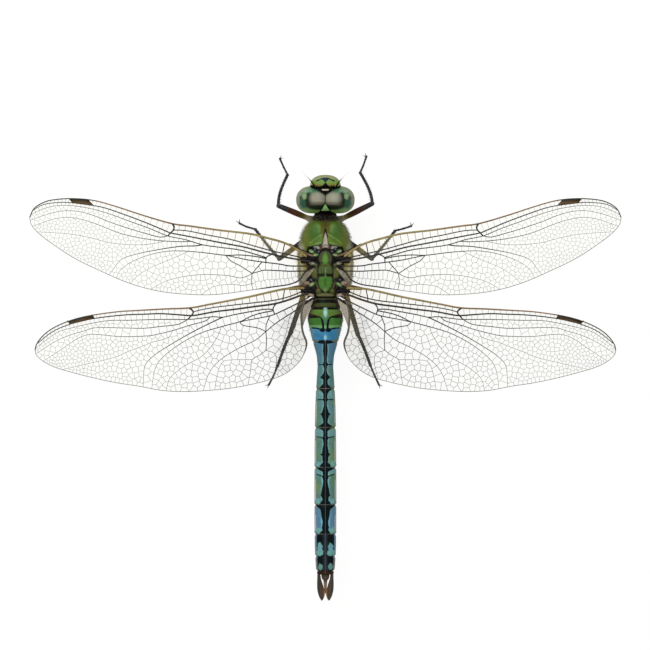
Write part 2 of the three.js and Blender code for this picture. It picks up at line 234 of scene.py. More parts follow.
# ---- Thorax ----
# The box of plates that holds the flight and leg muscles. Two green shoulder plates meet in a keel in
# front, the sides are broad slanting plates with sunk seams, and the back between the wings is a row of
# small domed shields in dark hinge skin.
class Piece:
    """The points, in millimetres, and the faces of a piece while it is put together. Each point can
    carry marks: named numbers that its finish reads."""

    def __init__(self):
        self.points = []
        self.faces = []
        self.marks = {}

    def add(self, points, faces, **marks):
        first = len(self.points)
        self.points += [Vector(p) for p in points]
        self.faces += [tuple(first + i for i in face) for face in faces]
        for name, values in marks.items():
            column = self.marks.setdefault(name, [0.0] * first)
            column += [0.0] * (first - len(column))
            column += values if isinstance(values, list) else [values] * len(points)

    def add_grid(self, grid, **marks):
        """Adds closed rings of points: an array with a row for each ring."""
        self.add(grid.reshape(-1, 3).tolist(), tube_faces(*grid.shape[:2]), **marks)

    def rod(self, line, radii, sides=6, flat=1.0, closed=True, **marks):
        """A rod along a line of points, with the radii spread along it. Each mark is one number, or one
        for each point of the line. flat below 1 makes the rod lower than wide."""
        radii = spread(radii, len(line))
        across = None
        rings = []
        for i, point in enumerate(line):
            along = (line[min(i + 1, len(line) - 1)] - line[max(i - 1, 0)]).normalized()
            if across is None:
                up = Vector((0, 0, 1)) if abs(along.z) < 0.9 else Vector((0, 1, 0))
                across = along.cross(up)
            across = (across - along * across.dot(along)).normalized()
            up = across.cross(along)
            for c, s in circle(sides):
                rings.append(point + (across * c + up * s * flat) * radii[i])
        for name, values in marks.items():
            if isinstance(values, list):
                marks[name] = [value for value in values for _ in range(sides)]
        self.add(rings, tube_faces(len(line), sides, closed), **marks)

    def mirrored(self):
        other = Piece()
        other.points = [Vector((-p.x, p.y, p.z)) for p in self.points]
        other.faces = [tuple(reversed(face)) for face in self.faces]
        other.marks = dict(self.marks)
        return other

    def made(self, name, finish, slot, stands_for=()):
        data = bpy.data.meshes.new(name)
        data.from_pydata([at(*p) for p in self.points], [], self.faces)
        for mark, values in self.marks.items():
            values = values + [0.0] * (len(self.points) - len(values))
            data.attributes.new(mark, "FLOAT", "POINT").data.foreach_set("value", values)
        data.polygons.foreach_set("use_smooth", [True] * len(data.polygons))
        data.materials.append(finish)
        made = bpy.data.objects.new(name, data)
        bpy.context.scene.collection.objects.link(made)
        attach(made, "root")
        if stands_for:
            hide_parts(*stands_for)
        return made

    def made_both(self, name, finish, slot, node=""):
        """Makes this left piece and its mirror image. The names have a place for the side's word."""
        for side, piece in (("left", self), ("right", self.mirrored())):
            piece.made(name.format(side), finish, slot, (node.format(side),) if node else ())


def turned(angle):
    """The place at an angle round a circle of radius 1."""
    return math.cos(angle), math.sin(angle)


def circle(sides):
    """The places of so many points evenly round a circle."""
    return [turned(2 * math.pi * k / sides) for k in range(sides)]


def tube_faces(rings, sides, closed=True):
    """Faces round a stack of rings of points, with both ends closed or open."""
    faces = []
    for ring in range(rings - 1):
        for k in range(sides):
            a, b = ring * sides + k, ring * sides + (k + 1) % sides
            faces.append((a, b, b + sides, a + sides))
    if closed:
        faces.append(tuple(reversed(range(sides))))
        faces.append(tuple(range((rings - 1) * sides, rings * sides)))
    return faces


def smooth_line(points, step):
    """A smooth curve through the points, as points about one step apart."""
    spots = [Vector(p) for p in points]
    spots = [spots[0] * 2 - spots[1], *spots, spots[-1] * 2 - spots[-2]]
    line = []
    for a, b, c, d in zip(spots, spots[1:], spots[2:], spots[3:]):
        pieces = max(1, round((c - b).length / step))
        for i in range(pieces):
            t = i / pieces
            bend = (c - a) * t + (a * 2 - b * 5 + c * 4 - d) * t**2 + (b * 3 - a - c * 3 + d) * t**3
            line.append(b + bend / 2)
    line.append(spots[-2])
    return line


def blend(start, end, share):
    return start + (end - start) * share


def spread(values, count):
    """A list of count values that runs evenly through the values given."""
    return np.interp(np.linspace(0, 1, count), np.linspace(0, 1, len(values)), values).tolist()


def ease(value, low, high):
    """0 up to low, 1 from high on, and a smooth rise between them, for one number."""
    share = min(1, max(0, (value - low) / (high - low)))
    return share * share * (3 - 2 * share)


WAIST = 0.48  # how far up its height the body is widest
END_SHARE = 0.9  # how big the ring past either end is
END_PUSH = 0.064


class Shell(Piece):
    """A plate of the body as rings of points from front to back. Its arrays x, y and z have a row for
    each ring, and out holds the way out of the surface at each point."""

    def __init__(self, profile, start, end, step, sides, taper=0.0, rims=None, rounding=0.6):
        super().__init__()
        count = max(4, round((end - start) / step))
        self.y = np.repeat(np.linspace(start, end, count + 1)[:, None], sides, axis=1)
        width, top, underside = profile_at(profile, self.y[:, 0], rounding)
        if rims is not None:
            width, top, underside = rims(self.y[:, 0], width, top, underside)
        middle = blend(underside, top, WAIST)[:, None]
        angle = np.linspace(0, 2 * np.pi, sides, endpoint=False)[None, :]
        across, up = np.cos(angle), np.sin(angle)
        reach = np.where(up > 0, top[:, None] - middle, middle - underside[:, None])
        narrowing = np.where(up < 0, 1 - taper * up**2, 1)
        self.x = width[:, None] * narrowing * across
        self.z = middle + reach * up
        along_y = np.gradient(self.x, axis=0), np.gradient(self.y, axis=0), np.gradient(self.z, axis=0)
        around = [np.roll(a, -1, 1) - np.roll(a, 1, 1) for a in (self.x, self.y, self.z)]
        out = np.cross(np.stack(along_y, -1), np.stack(around, -1))
        self.out = out / np.linalg.norm(out, axis=-1, keepdims=True)

    def raise_by(self, height):
        self.x = self.x + self.out[..., 0] * height
        self.y = self.y + self.out[..., 1] * height
        self.z = self.z + self.out[..., 2] * height

    def closed(self, **marks):
        """Turns the rings into points and faces, with a smaller ring just past both ends to round them."""
        rings = np.stack([self.x, self.y, self.z], -1)
        ends = []
        for ring, push in ((rings[0], -END_PUSH), (rings[-1], END_PUSH)):
            middle = ring.mean(0)
            ends.append(middle + (ring - middle) * END_SHARE + np.array([0, push, 0]))
        rings = np.concatenate([ends[0][None], rings, ends[1][None]])
        values = {}
        for name, field in marks.items():
            field = np.concatenate([field[:1], field, field[-1:]])
            values[name] = np.clip(field, -1, 1).ravel().tolist()
        self.add_grid(rings, **values)


PROFILE_STEP = 0.05


def profile_at(profile, places, rounding):
    """The half width, top and underside of a body at places along it, rounded off between stations."""
    table = np.array(profile)
    fine = np.arange(table[0, 0] - 3, table[-1, 0] + 3, PROFILE_STEP)
    window = np.hanning(max(3, int(rounding / PROFILE_STEP) * 2 + 1))
    window /= window.sum()
    columns = []
    for column in table[:, 1:].T:
        padded = np.interp(fine, table[:, 0], column)
        slope_in = (column[1] - column[0]) / (table[1, 0] - table[0, 0])
        slope_out = (column[-1] - column[-2]) / (table[-1, 0] - table[-2, 0])
        padded = np.where(fine < table[0, 0], column[0] + (fine - table[0, 0]) * slope_in, padded)
        padded = np.where(fine > table[-1, 0], column[-1] + (fine - table[-1, 0]) * slope_out, padded)
        columns.append(np.interp(places, fine, np.convolve(padded, window, "same")))
    return columns


def oval(x, y, centre, radii, turn=0.0):
    """How deep inside an oval each place is, in millimetres, and below 0 outside it. The oval's turn is in
    degrees. span() and plate() say the same of other shapes."""
    c, s = turned(math.radians(turn))
    dx, dy = x - centre[0], y - centre[1]
    return (1 - np.hypot((dx * c + dy * s) / radii[0], (dy * c - dx * s) / radii[1])) * min(radii)


def span(x, y, points, width=0.0):
    """Inside a band of half the given width along a line."""
    best = np.full(np.broadcast(x, y).shape, 99)
    for (x0, y0), (x1, y1) in zip(points, points[1:]):
        dx, dy = x1 - x0, y1 - y0
        share = np.clip(((x - x0) * dx + (y - y0) * dy) / max(dx * dx + dy * dy, 1e-9), 0, 1)
        best = np.minimum(best, np.hypot(x - x0 - share * dx, y - y0 - share * dy))
    return width / 2 - best


def plate(x, y, points):
    """Inside a closed outline."""
    distance = -span(x, y, points + points[:1])
    within = np.zeros(distance.shape, bool)
    for (x0, y0), (x1, y1) in zip(points, points[1:] + points[:1]):
        if y0 != y1:
            within ^= ((y0 > y) != (y1 > y)) & (x < x0 + (y - y0) / (y1 - y0) * (x1 - x0))
    return np.where(within, distance, -distance)


def both_sides(half):
    """A whole outline from the half of it on the left, listed from front to back."""
    return half + [(-x, y) for x, y in reversed(half)]


def most(*fields):
    return functools.reduce(np.maximum, fields)


def ovals(x, y, *shapes):
    """Inside any of several ovals, each given by its centre, its two radii and any turn in degrees."""
    return most(*(oval(x, y, shape[:2], shape[2:4], *shape[4:]) for shape in shapes))


def eased(field, low, high):
    """What ease() gives, for a whole field."""
    share = np.clip((field - low) / (high - low), 0, 1)
    return share * share * (3 - 2 * share)


# From front to back: place, half width, top and underside.
THORAX = [
    (-14.25, 2.5, 10.4, 5.6), (-13.8, 3, 11.2, 4.7), (-13.2, 3.55, 11.9, 4.1), (-12.3, 4.05, 12.6, 3.6),
    (-11.2, 4.45, 13.2, 3.3), (-9.6, 4.7, 13.8, 3.2), (-8.2, 4.8, 13.55, 3.3), (-6.2, 4.8, 13.2, 3.6),
    (-4.2, 4.75, 13.15, 4.4), (-2.4, 4.4, 13, 5.5), (-1.1, 3.8, 12.8, 6.5), (-0.3, 3, 12.2, 7.3),
]
BELLY_TAPER = 0.35
SADDLE = both_sides([
    (0, -9.75), (0.5, -9.7), (2, -9.5), (3.25, -9.3), (3.55, -8.3), (4.3, -7.7), (4.35, -6.3),
    (3.3, -5.8), (3, -5.2), (3.6, -3.7), (4.3, -2.9), (4.5, -2), (4.4, -0.8), (3.3, 0.2),
])
COLLAR_T = both_sides([
    (0.02, -12.3), (0.1, -11.8), (0.24, -11.2), (0.34, -10.5), (0.36, -10.05), (0.55, -9.6), (1.05, -9.38),
    (2.1, -9.52), (2.3, -9.2), (1.95, -8.98), (1.35, -8.85), (0.9, -8.8), (0.45, -9.05), (0.02, -9.15),
])
DIAMOND = both_sides([(0.16, -8.4), (0.48, -8.1), (0.72, -7.4), (0.86, -6.7), (0.7, -6.25), (0.35, -6.12)])
SCUTUM = both_sides([(0.25, -5.75), (0.7, -5.95), (1.25, -5.75), (1.42, -5.2), (1.4, -4.5), (1.25, -4.28)])
SHIELD = both_sides([
    (0.3, -3.95), (1.2, -3.88), (1.43, -3.4), (1.42, -2.5), (1.15, -1.8), (0.55, -1.25), (0.1, -0.8),
])
KEEL_LINES = [(0.04, -12.5), (0.2, -11.9), (0.36, -11.2)]
SADDLE_EDGE = [
    (0.36, -11.2), (0.47, -10.5), (0.52, -10), (0.72, -9.78), (1.3, -9.6), (2.4, -9.45), (3.2, -9.2),
]
HINGE_SKIN = [(2.5, -5.4), (3.3, -4.4), (4, -3.5), (4.6, -2.7)]

thorax = Shell(THORAX, -14.25, -0.3, 0.085, 190, BELLY_TAPER)
x, y, z = abs(thorax.x), thorax.y, thorax.z
upward = eased(thorax.out[..., 2], 0.15, 0.45) > 0.02


def back_only(field):
    """The field on the upward surface, and far outside elsewhere."""
    return np.where(upward, field, -1)


def on_back(*shapes):
    """Inside any of several ovals of the upward surface."""
    return back_only(ovals(x, y, *shapes))


saddle = back_only(plate(x, y, SADDLE))
t_bar = back_only(plate(x, y, COLLAR_T))
keel_lines = back_only(most(span(x, y, KEEL_LINES, 0.2), span(x, y, SADDLE_EDGE, 0.11)))
beans = on_back((2.65, -8.42, 0.62, 0.36, -28), (1.93, -7.75, 0.64, 0.32, 8))
nodules = on_back(
    (1.95, -8.82, 0.42, 0.3), (2.75, -3.3, 0.36, 0.34), (1.75, -3.25, 0.22, 0.3), (1.25, -8.4, 0.35, 0.3),
)
diamond = back_only(plate(x, y, DIAMOND))
scutum = back_only(plate(x, y, SCUTUM))
shield = back_only(plate(x, y, SHIELD))
side_shields = on_back((2.62, -2.4, 0.74, 0.38, 32))
olive = on_back(
    (2.2, -4.6, 0.55, 0.95), (2.05, -3.95, 0.45, 0.4), (1.35, -1.1, 0.5, 0.5), (2, -6, 0.35, 0.3),
    (0, -6, 0.9, 0.35),
)
cream = on_back((2.7, -6.3, 0.5, 0.27, -10), (3.5, -2.7, 0.42, 0.36), (2.62, -0.5, 0.42, 0.34))
skin = back_only(span(x, y, HINGE_SKIN, 0.75))
rear_plate = back_only(plate(x, y, both_sides([(0.6, -0.75), (1.65, -0.6), (1.7, 0.4)])))
round_diamond = on_back((0, -7.15, 1.5, 1.6))
margins = back_only(span(x, y, [(1.75, -5.9), (1.72, -4.2), (1.8, -2.6), (1.2, -1.2)], 0.3))
scutum_seam = back_only(span(x, y, [(0, -5.9), (0, -4.2)], 0.16))
cross_seam = back_only(span(x, y, [(0.22, -4.12), (1.5, -4.1)], 0.24))
centre_bit = on_back((0, -3.92, 0.3, 0.36))
shield_seam = back_only(span(x, y, [(0, -3.4), (0, -0.9)], 0.1))
crease = back_only(span(x, y, [(0.42, -11.6), (1.7, -10.8), (2.95, -9.85)], 0.12))
front_gleam = span(x, y, [(0.75, -10.05), (1.7, -9.85)], 0.16)
rear_gleam = span(x, y, [(0.9, -9.72), (2.9, -9.5)], 0.1)
gleams = back_only(most(crease, front_gleam, rear_gleam))
shoulder = on_back((2.1, -11.5, 2, 2.6))

# The seams of the side slant up and back, as the wings sit behind the legs.
SIDE_SEAMS = [
    [(-12.9, 4.4), (-11.6, 6.4), (-9.9, 9.4), (-8.3, 11.6)],
    [(-9.6, 3.6), (-8.7, 5.5), (-7.4, 8)],
    [(-7, 3.6), (-6.2, 5.9), (-4.4, 9.3), (-2.9, 11.6)],
]
LOWER_SEAM = [(-13.6, 5.2), (-12.4, 4.75), (-10, 4.5), (-7.5, 4.6), (-5, 5.4), (-2, 7.2)]
on_side = np.abs(thorax.out[..., 0]) > 0.3
side_seams = most(*(span(y, z, seam, 0.13) for seam in SIDE_SEAMS), span(y, z, LOWER_SEAM, 0.16))
side_seams = np.where(on_side & (saddle < 0), side_seams, -1)
breathing_hole = np.where(on_side, oval(y, z, (-7.15, 8.7), (0.28, 0.5), -30), -1)

relief = 0.12 * eased(0.09 - np.abs(thorax.x), -0.12, 0.06) * (y < -12.2)
# How high each field stands, and how deep inside it the rise begins and ends.
for height, low, high, field in (
    (-0.32, -0.1, 0.35, saddle),
    (-0.1, -0.05, 0.1, t_bar),
    (0.34, -0.1, 0.5, diamond),
    (0.12, 0, 0.8, round_diamond),
    (0.3, -0.08, 0.35, scutum),
    (0.34, -0.08, 0.5, shield),
    (0.3, -0.05, 0.22, beans),
    (0.3, -0.05, 0.28, nodules),
    (0.3, -0.05, 0.22, side_shields),
    (0.2, -0.1, 0.35, olive),
    (0.24, -0.05, 0.3, cream),
    (0.12, -0.1, 0.4, skin),
    (0.15, -0.05, 0.3, rear_plate),
    (0.1, -0.06, 0.14, margins),
    (-0.12, -0.1, 0.06, most(scutum_seam, cross_seam, shield_seam)),
    (-0.09, -0.12, 0.08, keel_lines),
    (-0.04, -0.15, 0.1, crease),
    (-0.14, -0.2, 0.06, side_seams),
    (-0.12, -0.1, 0.15, breathing_hole),
    (0.1, 0, 1.2, shoulder),
):
    relief += height * eased(field, low, high)
thorax.raise_by(relief * np.where(thorax.y > -0.5, 0.4, 1))
thorax.closed(
    saddle=saddle,
    ink=most(keel_lines, cross_seam, nodules, breathing_hole),
    seam=most(side_seams, shield_seam),
    grey=most(margins, round_diamond - 0.25, scutum_seam, centre_bit),
    green=most(diamond, scutum, shield),
    bright=most(beans, side_shields),
    lit=ovals(x, y, (0, -7, 0.65, 1.2), (0, -4.9, 0.12, 0.6), (0.1, -1.4, 0.3, 0.8)),
    keel=back_only(span(x, y, [(0, -14.3), (0, -12.5)], 0.34)),
    dusk=ovals(x, y, (2.2, -11.9, 1.5, 1.9), (0.75, -2.9, 0.7, 1.2)),
    olive=most(olive, rear_plate),
    bead=nodules,
    crease=gleams,
    skin=most(skin, cream),
    pale=t_bar,
)

thorax_finish, shader, place, x, y, z = new_finish("thorax_finish", Coat_Weight=0.04, Coat_Roughness=0.2)
mottle = grain(place, 1.3)
fine = grain(place, 0.25)
edge_noise = (grain(place, 0.3) - 0.5) * 0.16


def zone(name, softness=0.05):
    """1 inside a zone that the points of the piece carry, with the uneven border of the finish in hand."""
    return (mark(place, name) + edge_noise).step(-softness, softness)


def layered(colour, *layers):
    """A colour with others laid over it in turn, each as far as its mask says."""
    for mask, paint in layers:
        colour = mask.mix(colour, paint)
    return colour


side = abs(x)
highlight_x = abs(x - 0.1) - 1.5
highlight_y = y + 12.6
olive = layered(
    (fine * 0.5 + mottle * 0.5).mix("343818", "707438"),
    # Painted light: the olive is lighter at the very back, against the shade on its steep slope.
    (y.step(-0.9, -0.5) * side.step(1.6, 1.2), fine.mix("505034", "7e7c58")),
)
green = layered(
    mottle.mix("31591f", "4f7a30"),
    (y.step(-6.1, -5.9) * y.step(-4, -4.2), fine.mix("36481f", "55683a")),
    (y.step(-4, -3.8), mottle.mix("386426", "578334")),
    (side.step(0.4, 0) * y.step(-3.7, -3.4) * y.step(-1.5, -2.3) * 0.6, "284818"),
    (y.step(-1.9, -1.2), "6c884c"),
)
# Painted shade: the green plates darken towards their edges. Their lighter middles, where the lit mark
# lies, are painted light.
green = mark(place, "green").step(-0.02, 0.24).mix(mottle.mix("2c401e", "425a2c"), green)
green = (mark(place, "lit").step(-0.1, 0.4) * 0.75).mix(green, "6b9448")
cuticle = mottle.ramp([
    (0.3, "080707"), (0.42, "17120e"), (0.5, "0c0b0b"), (0.58, "2c2118"), (0.66, "24202a"),
    (0.78, "3d3a26"),
])
midline = side.step(0.14, 0.02) * y.step(-5.8, -5.2) * y.step(-3.7, -4)
blotches = grain(place, 0.6)
skin = layered(
    blotches.mix("6a614c", "d2cab2"),
    (y.step(-5.6, -6), blotches.mix("8e907e", "cfd0be")),
    (y.step(-1.4, -1), blotches.mix("4c483a", "a09a86")),
)
pale = layered(
    grain(place, 0.5).mix("7c6a5f", "c6bcb0"),
    (side.step(0.25, 0.7) * side.step(1.3, 1) * y.step(-9.65, -9.3), "54382e"),
    # Painted highlights at the ends of the bar's arms.
    (side.step(1, 1.3), fine.mix("8b8d81", "b8bbaf")),
)
colour = layered(
    mottle.mix("465e1c", "5f7a2a"),
    # The shoulders: a painted highlight on each, olive beside the keel and down the sides.
    ((highlight_x * highlight_x + highlight_y * highlight_y).step(1.2, 0.1), "769656"),
    (side.step(1.3, 0.5) * y.step(-11, -11.8), mottle.mix("4c4c16", "5f6024")),
    (mark(place, "dusk").step(-0.2, 0.9) * 0.8, mottle.mix("30541f", "456a2c")),
    (side.step(2.2, 3.9), mottle.mix("525c16", "6c7826")),
    # Painted shade across the front of the thorax, where it runs under the neck.
    (y.step(-13.6, -14.3) * side.step(2.4, 1.2), "3a2f22"),
    (zone("keel", 0.1), side.step(0.02, 0.12).mix("6b5648", "2a1912")),
    # The sides, paler below the wings and low down, with their seams. The pale band at the very edge of the
    # outline is painted rim light.
    (side.step(4.1, 4.7), fine.mix("6c7748", "959a74")),
    (side.step(3.5, 4.5) * y.step(-10.2, -9), fine.mix("a0a378", "d8d8bc")),
    (z.step(9.5, 5.5), mottle.mix("7a8440", "93905a")),
    (zone("seam", 0.08), "3a3a1c"),
    # The back between the wings.
    (zone("saddle", 0.1), cuticle),
    (zone("grey", 0.15), grain(place, 0.45).mix("28241a", "686249")),
    (zone("olive", 0.15), olive),
    # Pale crease lines, with the painted highlight streaks that share their mark.
    (zone("crease", 0.08), "7a9656"),
    (zone("green"), green),
    (midline * 0.8, fine.mix("626f58", "8f9a85")),
    (zone("bright"), mark(place, "bright").step(0, 0.25).mix("3f5a30", mottle.mix("6c9050", "aac08c"))),
    (zone("skin", 0.12), skin),
    (zone("pale", 0.1), pale),
    (zone("ink", 0.04), "0b090a"),
    # A painted highlight: a grey glint in the middle of each black nodule.
    ((mark(place, "bead") + edge_noise).step(0.08, 0.18), "5b6069"),
)
feed(
    shader,
    Base_Color=colour,
    Roughness=0.32 + fine * 0.2,
    Normal=bump(fine + mottle * 0.6, 0.05),
)
thorax.made("thorax_shell", thorax_finish, "thorax_shell", ("thorax",))

# ---- Neck and prothorax ----
# The narrow first ring of the thorax and the neck inside its collar. Both are dark, dull and hairy, and
# the head swivels freely on them.
NECK = [(-15.9, 1.85, 9.9, 6.7), (-15.3, 2, 10.2, 6.6), (-14.97, 2.1, 10.3, 6.5)]
COLLAR = [
    (-15, 2.1, 10.6, 5.4), (-14.75, 2.5, 10.95, 5), (-14.45, 2.55, 11, 4.9), (-14.2, 2.3, 10.7, 5.2),
]
WRINKLE_HEIGHT = 0.05
WRINKLE_TURNS = 22  # radians of the neck's wrinkles for each millimetre

dark_finish, shader, place, x, *_ = new_finish("dark_collar_finish")
lumps = grain(place, 0.5)
feed(
    shader,
    Base_Color=abs(x).step(1.4, 3.2).mix(lumps.mix("080706", "1a1610"), lumps.mix("3a3322", "5c5230")),
    Roughness=0.4 + lumps * 0.3,
    Normal=bump(grain(place, 0.15) + lumps, 0.08),
)
neck = Shell(NECK, -15.9, -14.9, 0.1, 60)
neck.raise_by(WRINKLE_HEIGHT * np.sin(neck.y * WRINKLE_TURNS))
neck.closed()
neck.made("neck_skin", dark_finish, "thorax_shell", ("neck",))
collar = Shell(COLLAR, -15, -14.2, 0.05, 96, rounding=0.2)
groove = span(collar.x, collar.y, [(-3, -14.62), (3, -14.62)], 0.16)
swelling = oval(abs(collar.x), collar.y, (1, -14.8), (0.8, 0.25))
collar.raise_by(0.1 * eased(swelling, -0.05, 0.2) - 0.14 * eased(groove, -0.1, 0.06))
collar.closed()
collar.made("prothorax_collar", dark_finish, "thorax_shell", ("prothorax",))

# ---- Eyes ----
# Two huge domes of thousands of tiny lenses that meet along the top of the head. They are smooth and
# glossy, bluish green above and yellower below, with dark false pupils that seem to float inside.
EYE_CENTRE = (2.45, -17.93, 9.5)
EYE_RADII = (2.75, 2.5, 4.1)
EYE_LEAN = 14  # degrees that the tops lean together
SQUARENESS = 2.2
EYE_GAP = 0.035  # half the groove between the eyes


def blob(centre, radii, lean=0.0, power=SQUARENESS, around=96, levels=60):
    """A rounded body, squarer than an ellipsoid where the power is above 2, as a grid of rings stacked
    upwards. It leans by so many degrees."""
    def soften(value):
        return np.sign(value) * np.abs(value) ** (2 / power)

    latitude = np.linspace(-0.495, 0.495, levels)[:, None] * np.pi
    angle = np.linspace(0, 2 * np.pi, around, endpoint=False)[None, :]
    girth = soften(np.cos(latitude))
    x = girth * soften(np.cos(angle)) * radii[0]
    y = girth * soften(np.sin(angle)) * radii[1]
    z = soften(np.sin(latitude)) * radii[2] + 0 * x
    c, s = turned(math.radians(lean))
    return np.stack([x * c + z * s, y, z * c - x * s], -1) + centre


HALVINGS = 24  # of the stretch that holds the eye's surface, before its height is close enough


def eye_top(x, y):
    """How high the left eye's surface stands at a place."""
    c, s = turned(math.radians(-EYE_LEAN))
    low, high = 0, 6.0
    for _ in range(HALVINGS):
        z = (low + high) / 2
        local = ((x - EYE_CENTRE[0]) * c - z * s, y - EYE_CENTRE[1], z * c + (x - EYE_CENTRE[0]) * s)
        size = sum(abs(v / r) ** SQUARENESS for v, r in zip(local, EYE_RADII))
        low, high = (z, high) if size < 1 else (low, z)
    return low + EYE_CENTRE[2]


eye = Piece()
grid = blob(EYE_CENTRE, EYE_RADII, -EYE_LEAN, around=144, levels=110)
grid[..., 0] = np.maximum(grid[..., 0], EYE_GAP)
eye.add_grid(grid)

eye_finish, shader, place, x, y, z = new_finish(
    "eye_finish", Roughness=0.5, Coat_Weight=0.1, Coat_Roughness=0.3
)
side = abs(x)


def cells(place, size, **settings):
    """The distance from the middle of the nearest of many cells of about size millimetres."""
    return place.node("ShaderNodeTexVoronoi", settings, {"Vector": place, "Scale": 1 / (size * MM)})


def spot(centre, radii, soft):
    """A soft-edged patch on the eye as seen from above."""
    dx, dy = (side - centre[0]) / radii[0], (y - centre[1]) / radii[1]
    return (dx * dx + dy * dy).step(1 + soft, 1 - soft) * z.step(9.6, 11.4)


waves = grain(place, 1)
upper = spot((2.2, -18), (2.55, 2.1), 0.35)
brow = y + side * 0.5 + side * side * 0.045
colour = layered(
    waves.mix("838b68", "a1a588"),
    (y.step(-19.4, -20.1), waves.mix("7f8b5c", "98a27a")),
    (y.step(-16.75, -16.15), waves.mix("6c8c48", "96b268")),
    (z.step(8.5, 5), "9a9a5a"),
    # From the rim inwards: green in front and behind, teal outside, then nearly black, and grey in the
    # middle. They fade out down the side.
    (upper, waves.mix("4a7a50", "6c9470")),
    (upper * side.step(3, 1.6), waves.mix("205a3c", "3a7354")),
    (upper * y.step(-16.9, -16.2), waves.mix("608840", "8cae5e")),
    (spot((3.35, -19.4), (0.75, 0.3), 0.9), "86a088"),
    (spot((4.05, -17.2), (0.7, 1), 0.8), "3f7258"),
    (spot((1.7, -17.3), (2.4, 1.3), 0.45), waves.mix("0c1a08", "222c16")),
    (spot((4, -17.4), (0.6, 0.9), 0.9), "28543e"),
    (spot((3, -18), (0.62, 1.3), 0.8), "17220f"),
    (spot((1.1, -18.05), (1.65, 1.25), 0.85), waves.mix("868573", "a6a490")),
    (spot((1.2, -17.05), (1.6, 0.4), 0.95) * 0.7, "5a5443"),
    (spot((1.1, -16.5), (1.7, 0.42), 0.8), "14200b"),
    (spot((3.85, -18.45), (0.42, 0.52), 0.95), "8aa378"),
    (spot((4.45, -18.2), (0.3, 0.42), 0.9), "424f38"),
    (side.step(0.07, 0.02), "45453a"),
    # The black brow of the skull runs out over the front of the eye.
    (brow.step(-18.4, -18.6) * 0.5, "2c4a3c"),
    (brow.step(-18.72, -18.84), "080705"),
)
lenses = cells(place, 0.09)
feed(shader, Base_Color=colour, Normal=bump(lenses, 0.012, 0.5))
eye.made_both("eye_{}_dome", eye_finish, "eye", "eye_{}")

# ---- Skull ----
# The thin black capsule between and behind the eyes. In front of them it rises into the vertex, a small
# black knob with a cream bar, and behind them into the pale occipital triangle.
SKULL_PARTS = (((0, -17.1, 8.7), (3.1, 1.85, 3.6)), ((0, -19.62, 12.3), (1.2, 0.62, 0.85)))
RIDGE = [(2.75, -20.45), (1.95, -20.08), (1, -19.6), (0.4, -19.25), (0, -19.08)]
RIDGE_RADII = (0.16, 0.42)
OCELLUS = ((1.25, -19.75, 12.35), (0.3, 0.3, 0.26))

skull = Piece()
for centre, radii in SKULL_PARTS:
    skull.add_grid(blob(centre, radii, around=64, levels=32))
for sign in (1, -1):
    line = smooth_line([(sign * px, py, eye_top(max(px, 0.1), py) - 0.05) for px, py in RIDGE], 0.15)
    skull.rod(line, RIDGE_RADII, 12, 0.7)
    # The small round simple eyes either side of the vertex.
    centre, radii = OCELLUS
    grid = blob((sign * centre[0], *centre[1:]), radii, power=2, around=24, levels=12)
    skull.add_grid(grid, ocellus=1.0)

skull_finish, shader, place, x, y, z = new_finish("skull_finish", Coat_Weight=0.03, Coat_Roughness=0.2)
lumps = grain(place, 0.3)
bar = (abs(x) + y * 0.35).step(-6.22, -6.34) * y.step(-19.81, -19.73) * y.step(-19.48, -19.56)
bar = bar * z.step(12.3, 12.5)
colour = layered(
    lumps.mix("060504", "15110c"),
    (z.step(11.8, 10.8) * y.step(-18.3, -19), lumps.mix("565c38", "777d52")),
    (mark(place, "ocellus"), "1c1a12"),
    (bar, lumps.mix("a39c78", "c9c4a6")),
)
feed(shader, Base_Color=colour, Roughness=0.35 + lumps * 0.2, Normal=bump(lumps, 0.05))
skull.made("skull_capsule", skull_finish, "head_shell", ("head",))

# The triangle is a wedge that widens and sinks backwards, with a rounded top.
occiput = Piece()
rows = []
for share in np.linspace(0, 1, 15):
    half = blend(0.06, 0.76, share)
    row_y = blend(-17, -15.8, share)
    top = 13.25 - 0.3 * share - 0.75 * share**3
    upper_row = [(half * u, row_y, top + 0.14 * (1 - u * u)) for u in np.linspace(-1, 1, 11)]
    rows.append(upper_row + [(half * u, row_y, top - 1.2) for u in np.linspace(1, -1, 11)])
occiput.add_grid(np.array(rows))
occiput_finish, shader, place, x, y, z = new_finish("occiput_finish", Coat_Weight=0.1)
lumps = grain(place, 0.3)
colour = y.step(-15.95, -15.8).mix(lumps.mix("6c9a58", "8db577"), "2a3018")
feed(shader, Base_Color=colour, Roughness=0.35 + lumps * 0.2, Normal=bump(lumps, 0.05))
occiput.made("occipital_triangle", occiput_finish, "head_shell")

# ---- Face ----
# Below the vertex the frons juts out like a brow, with a dark bar on its top. The clypeus in two parts and
# the upper lip hang under it, parted by sunk seams. All are leathery and pitted.
FRONS = ((0, -20.25, 11.85), (2.8, 2.15, 1.4))
LOWER_FACE = ((0, -19.75, 9.35), (2.72, 1.98, 2.75))
FACE_SEAMS = (9.2, 9.95)  # heights of the lip's hinge and of the clypeus's middle seam

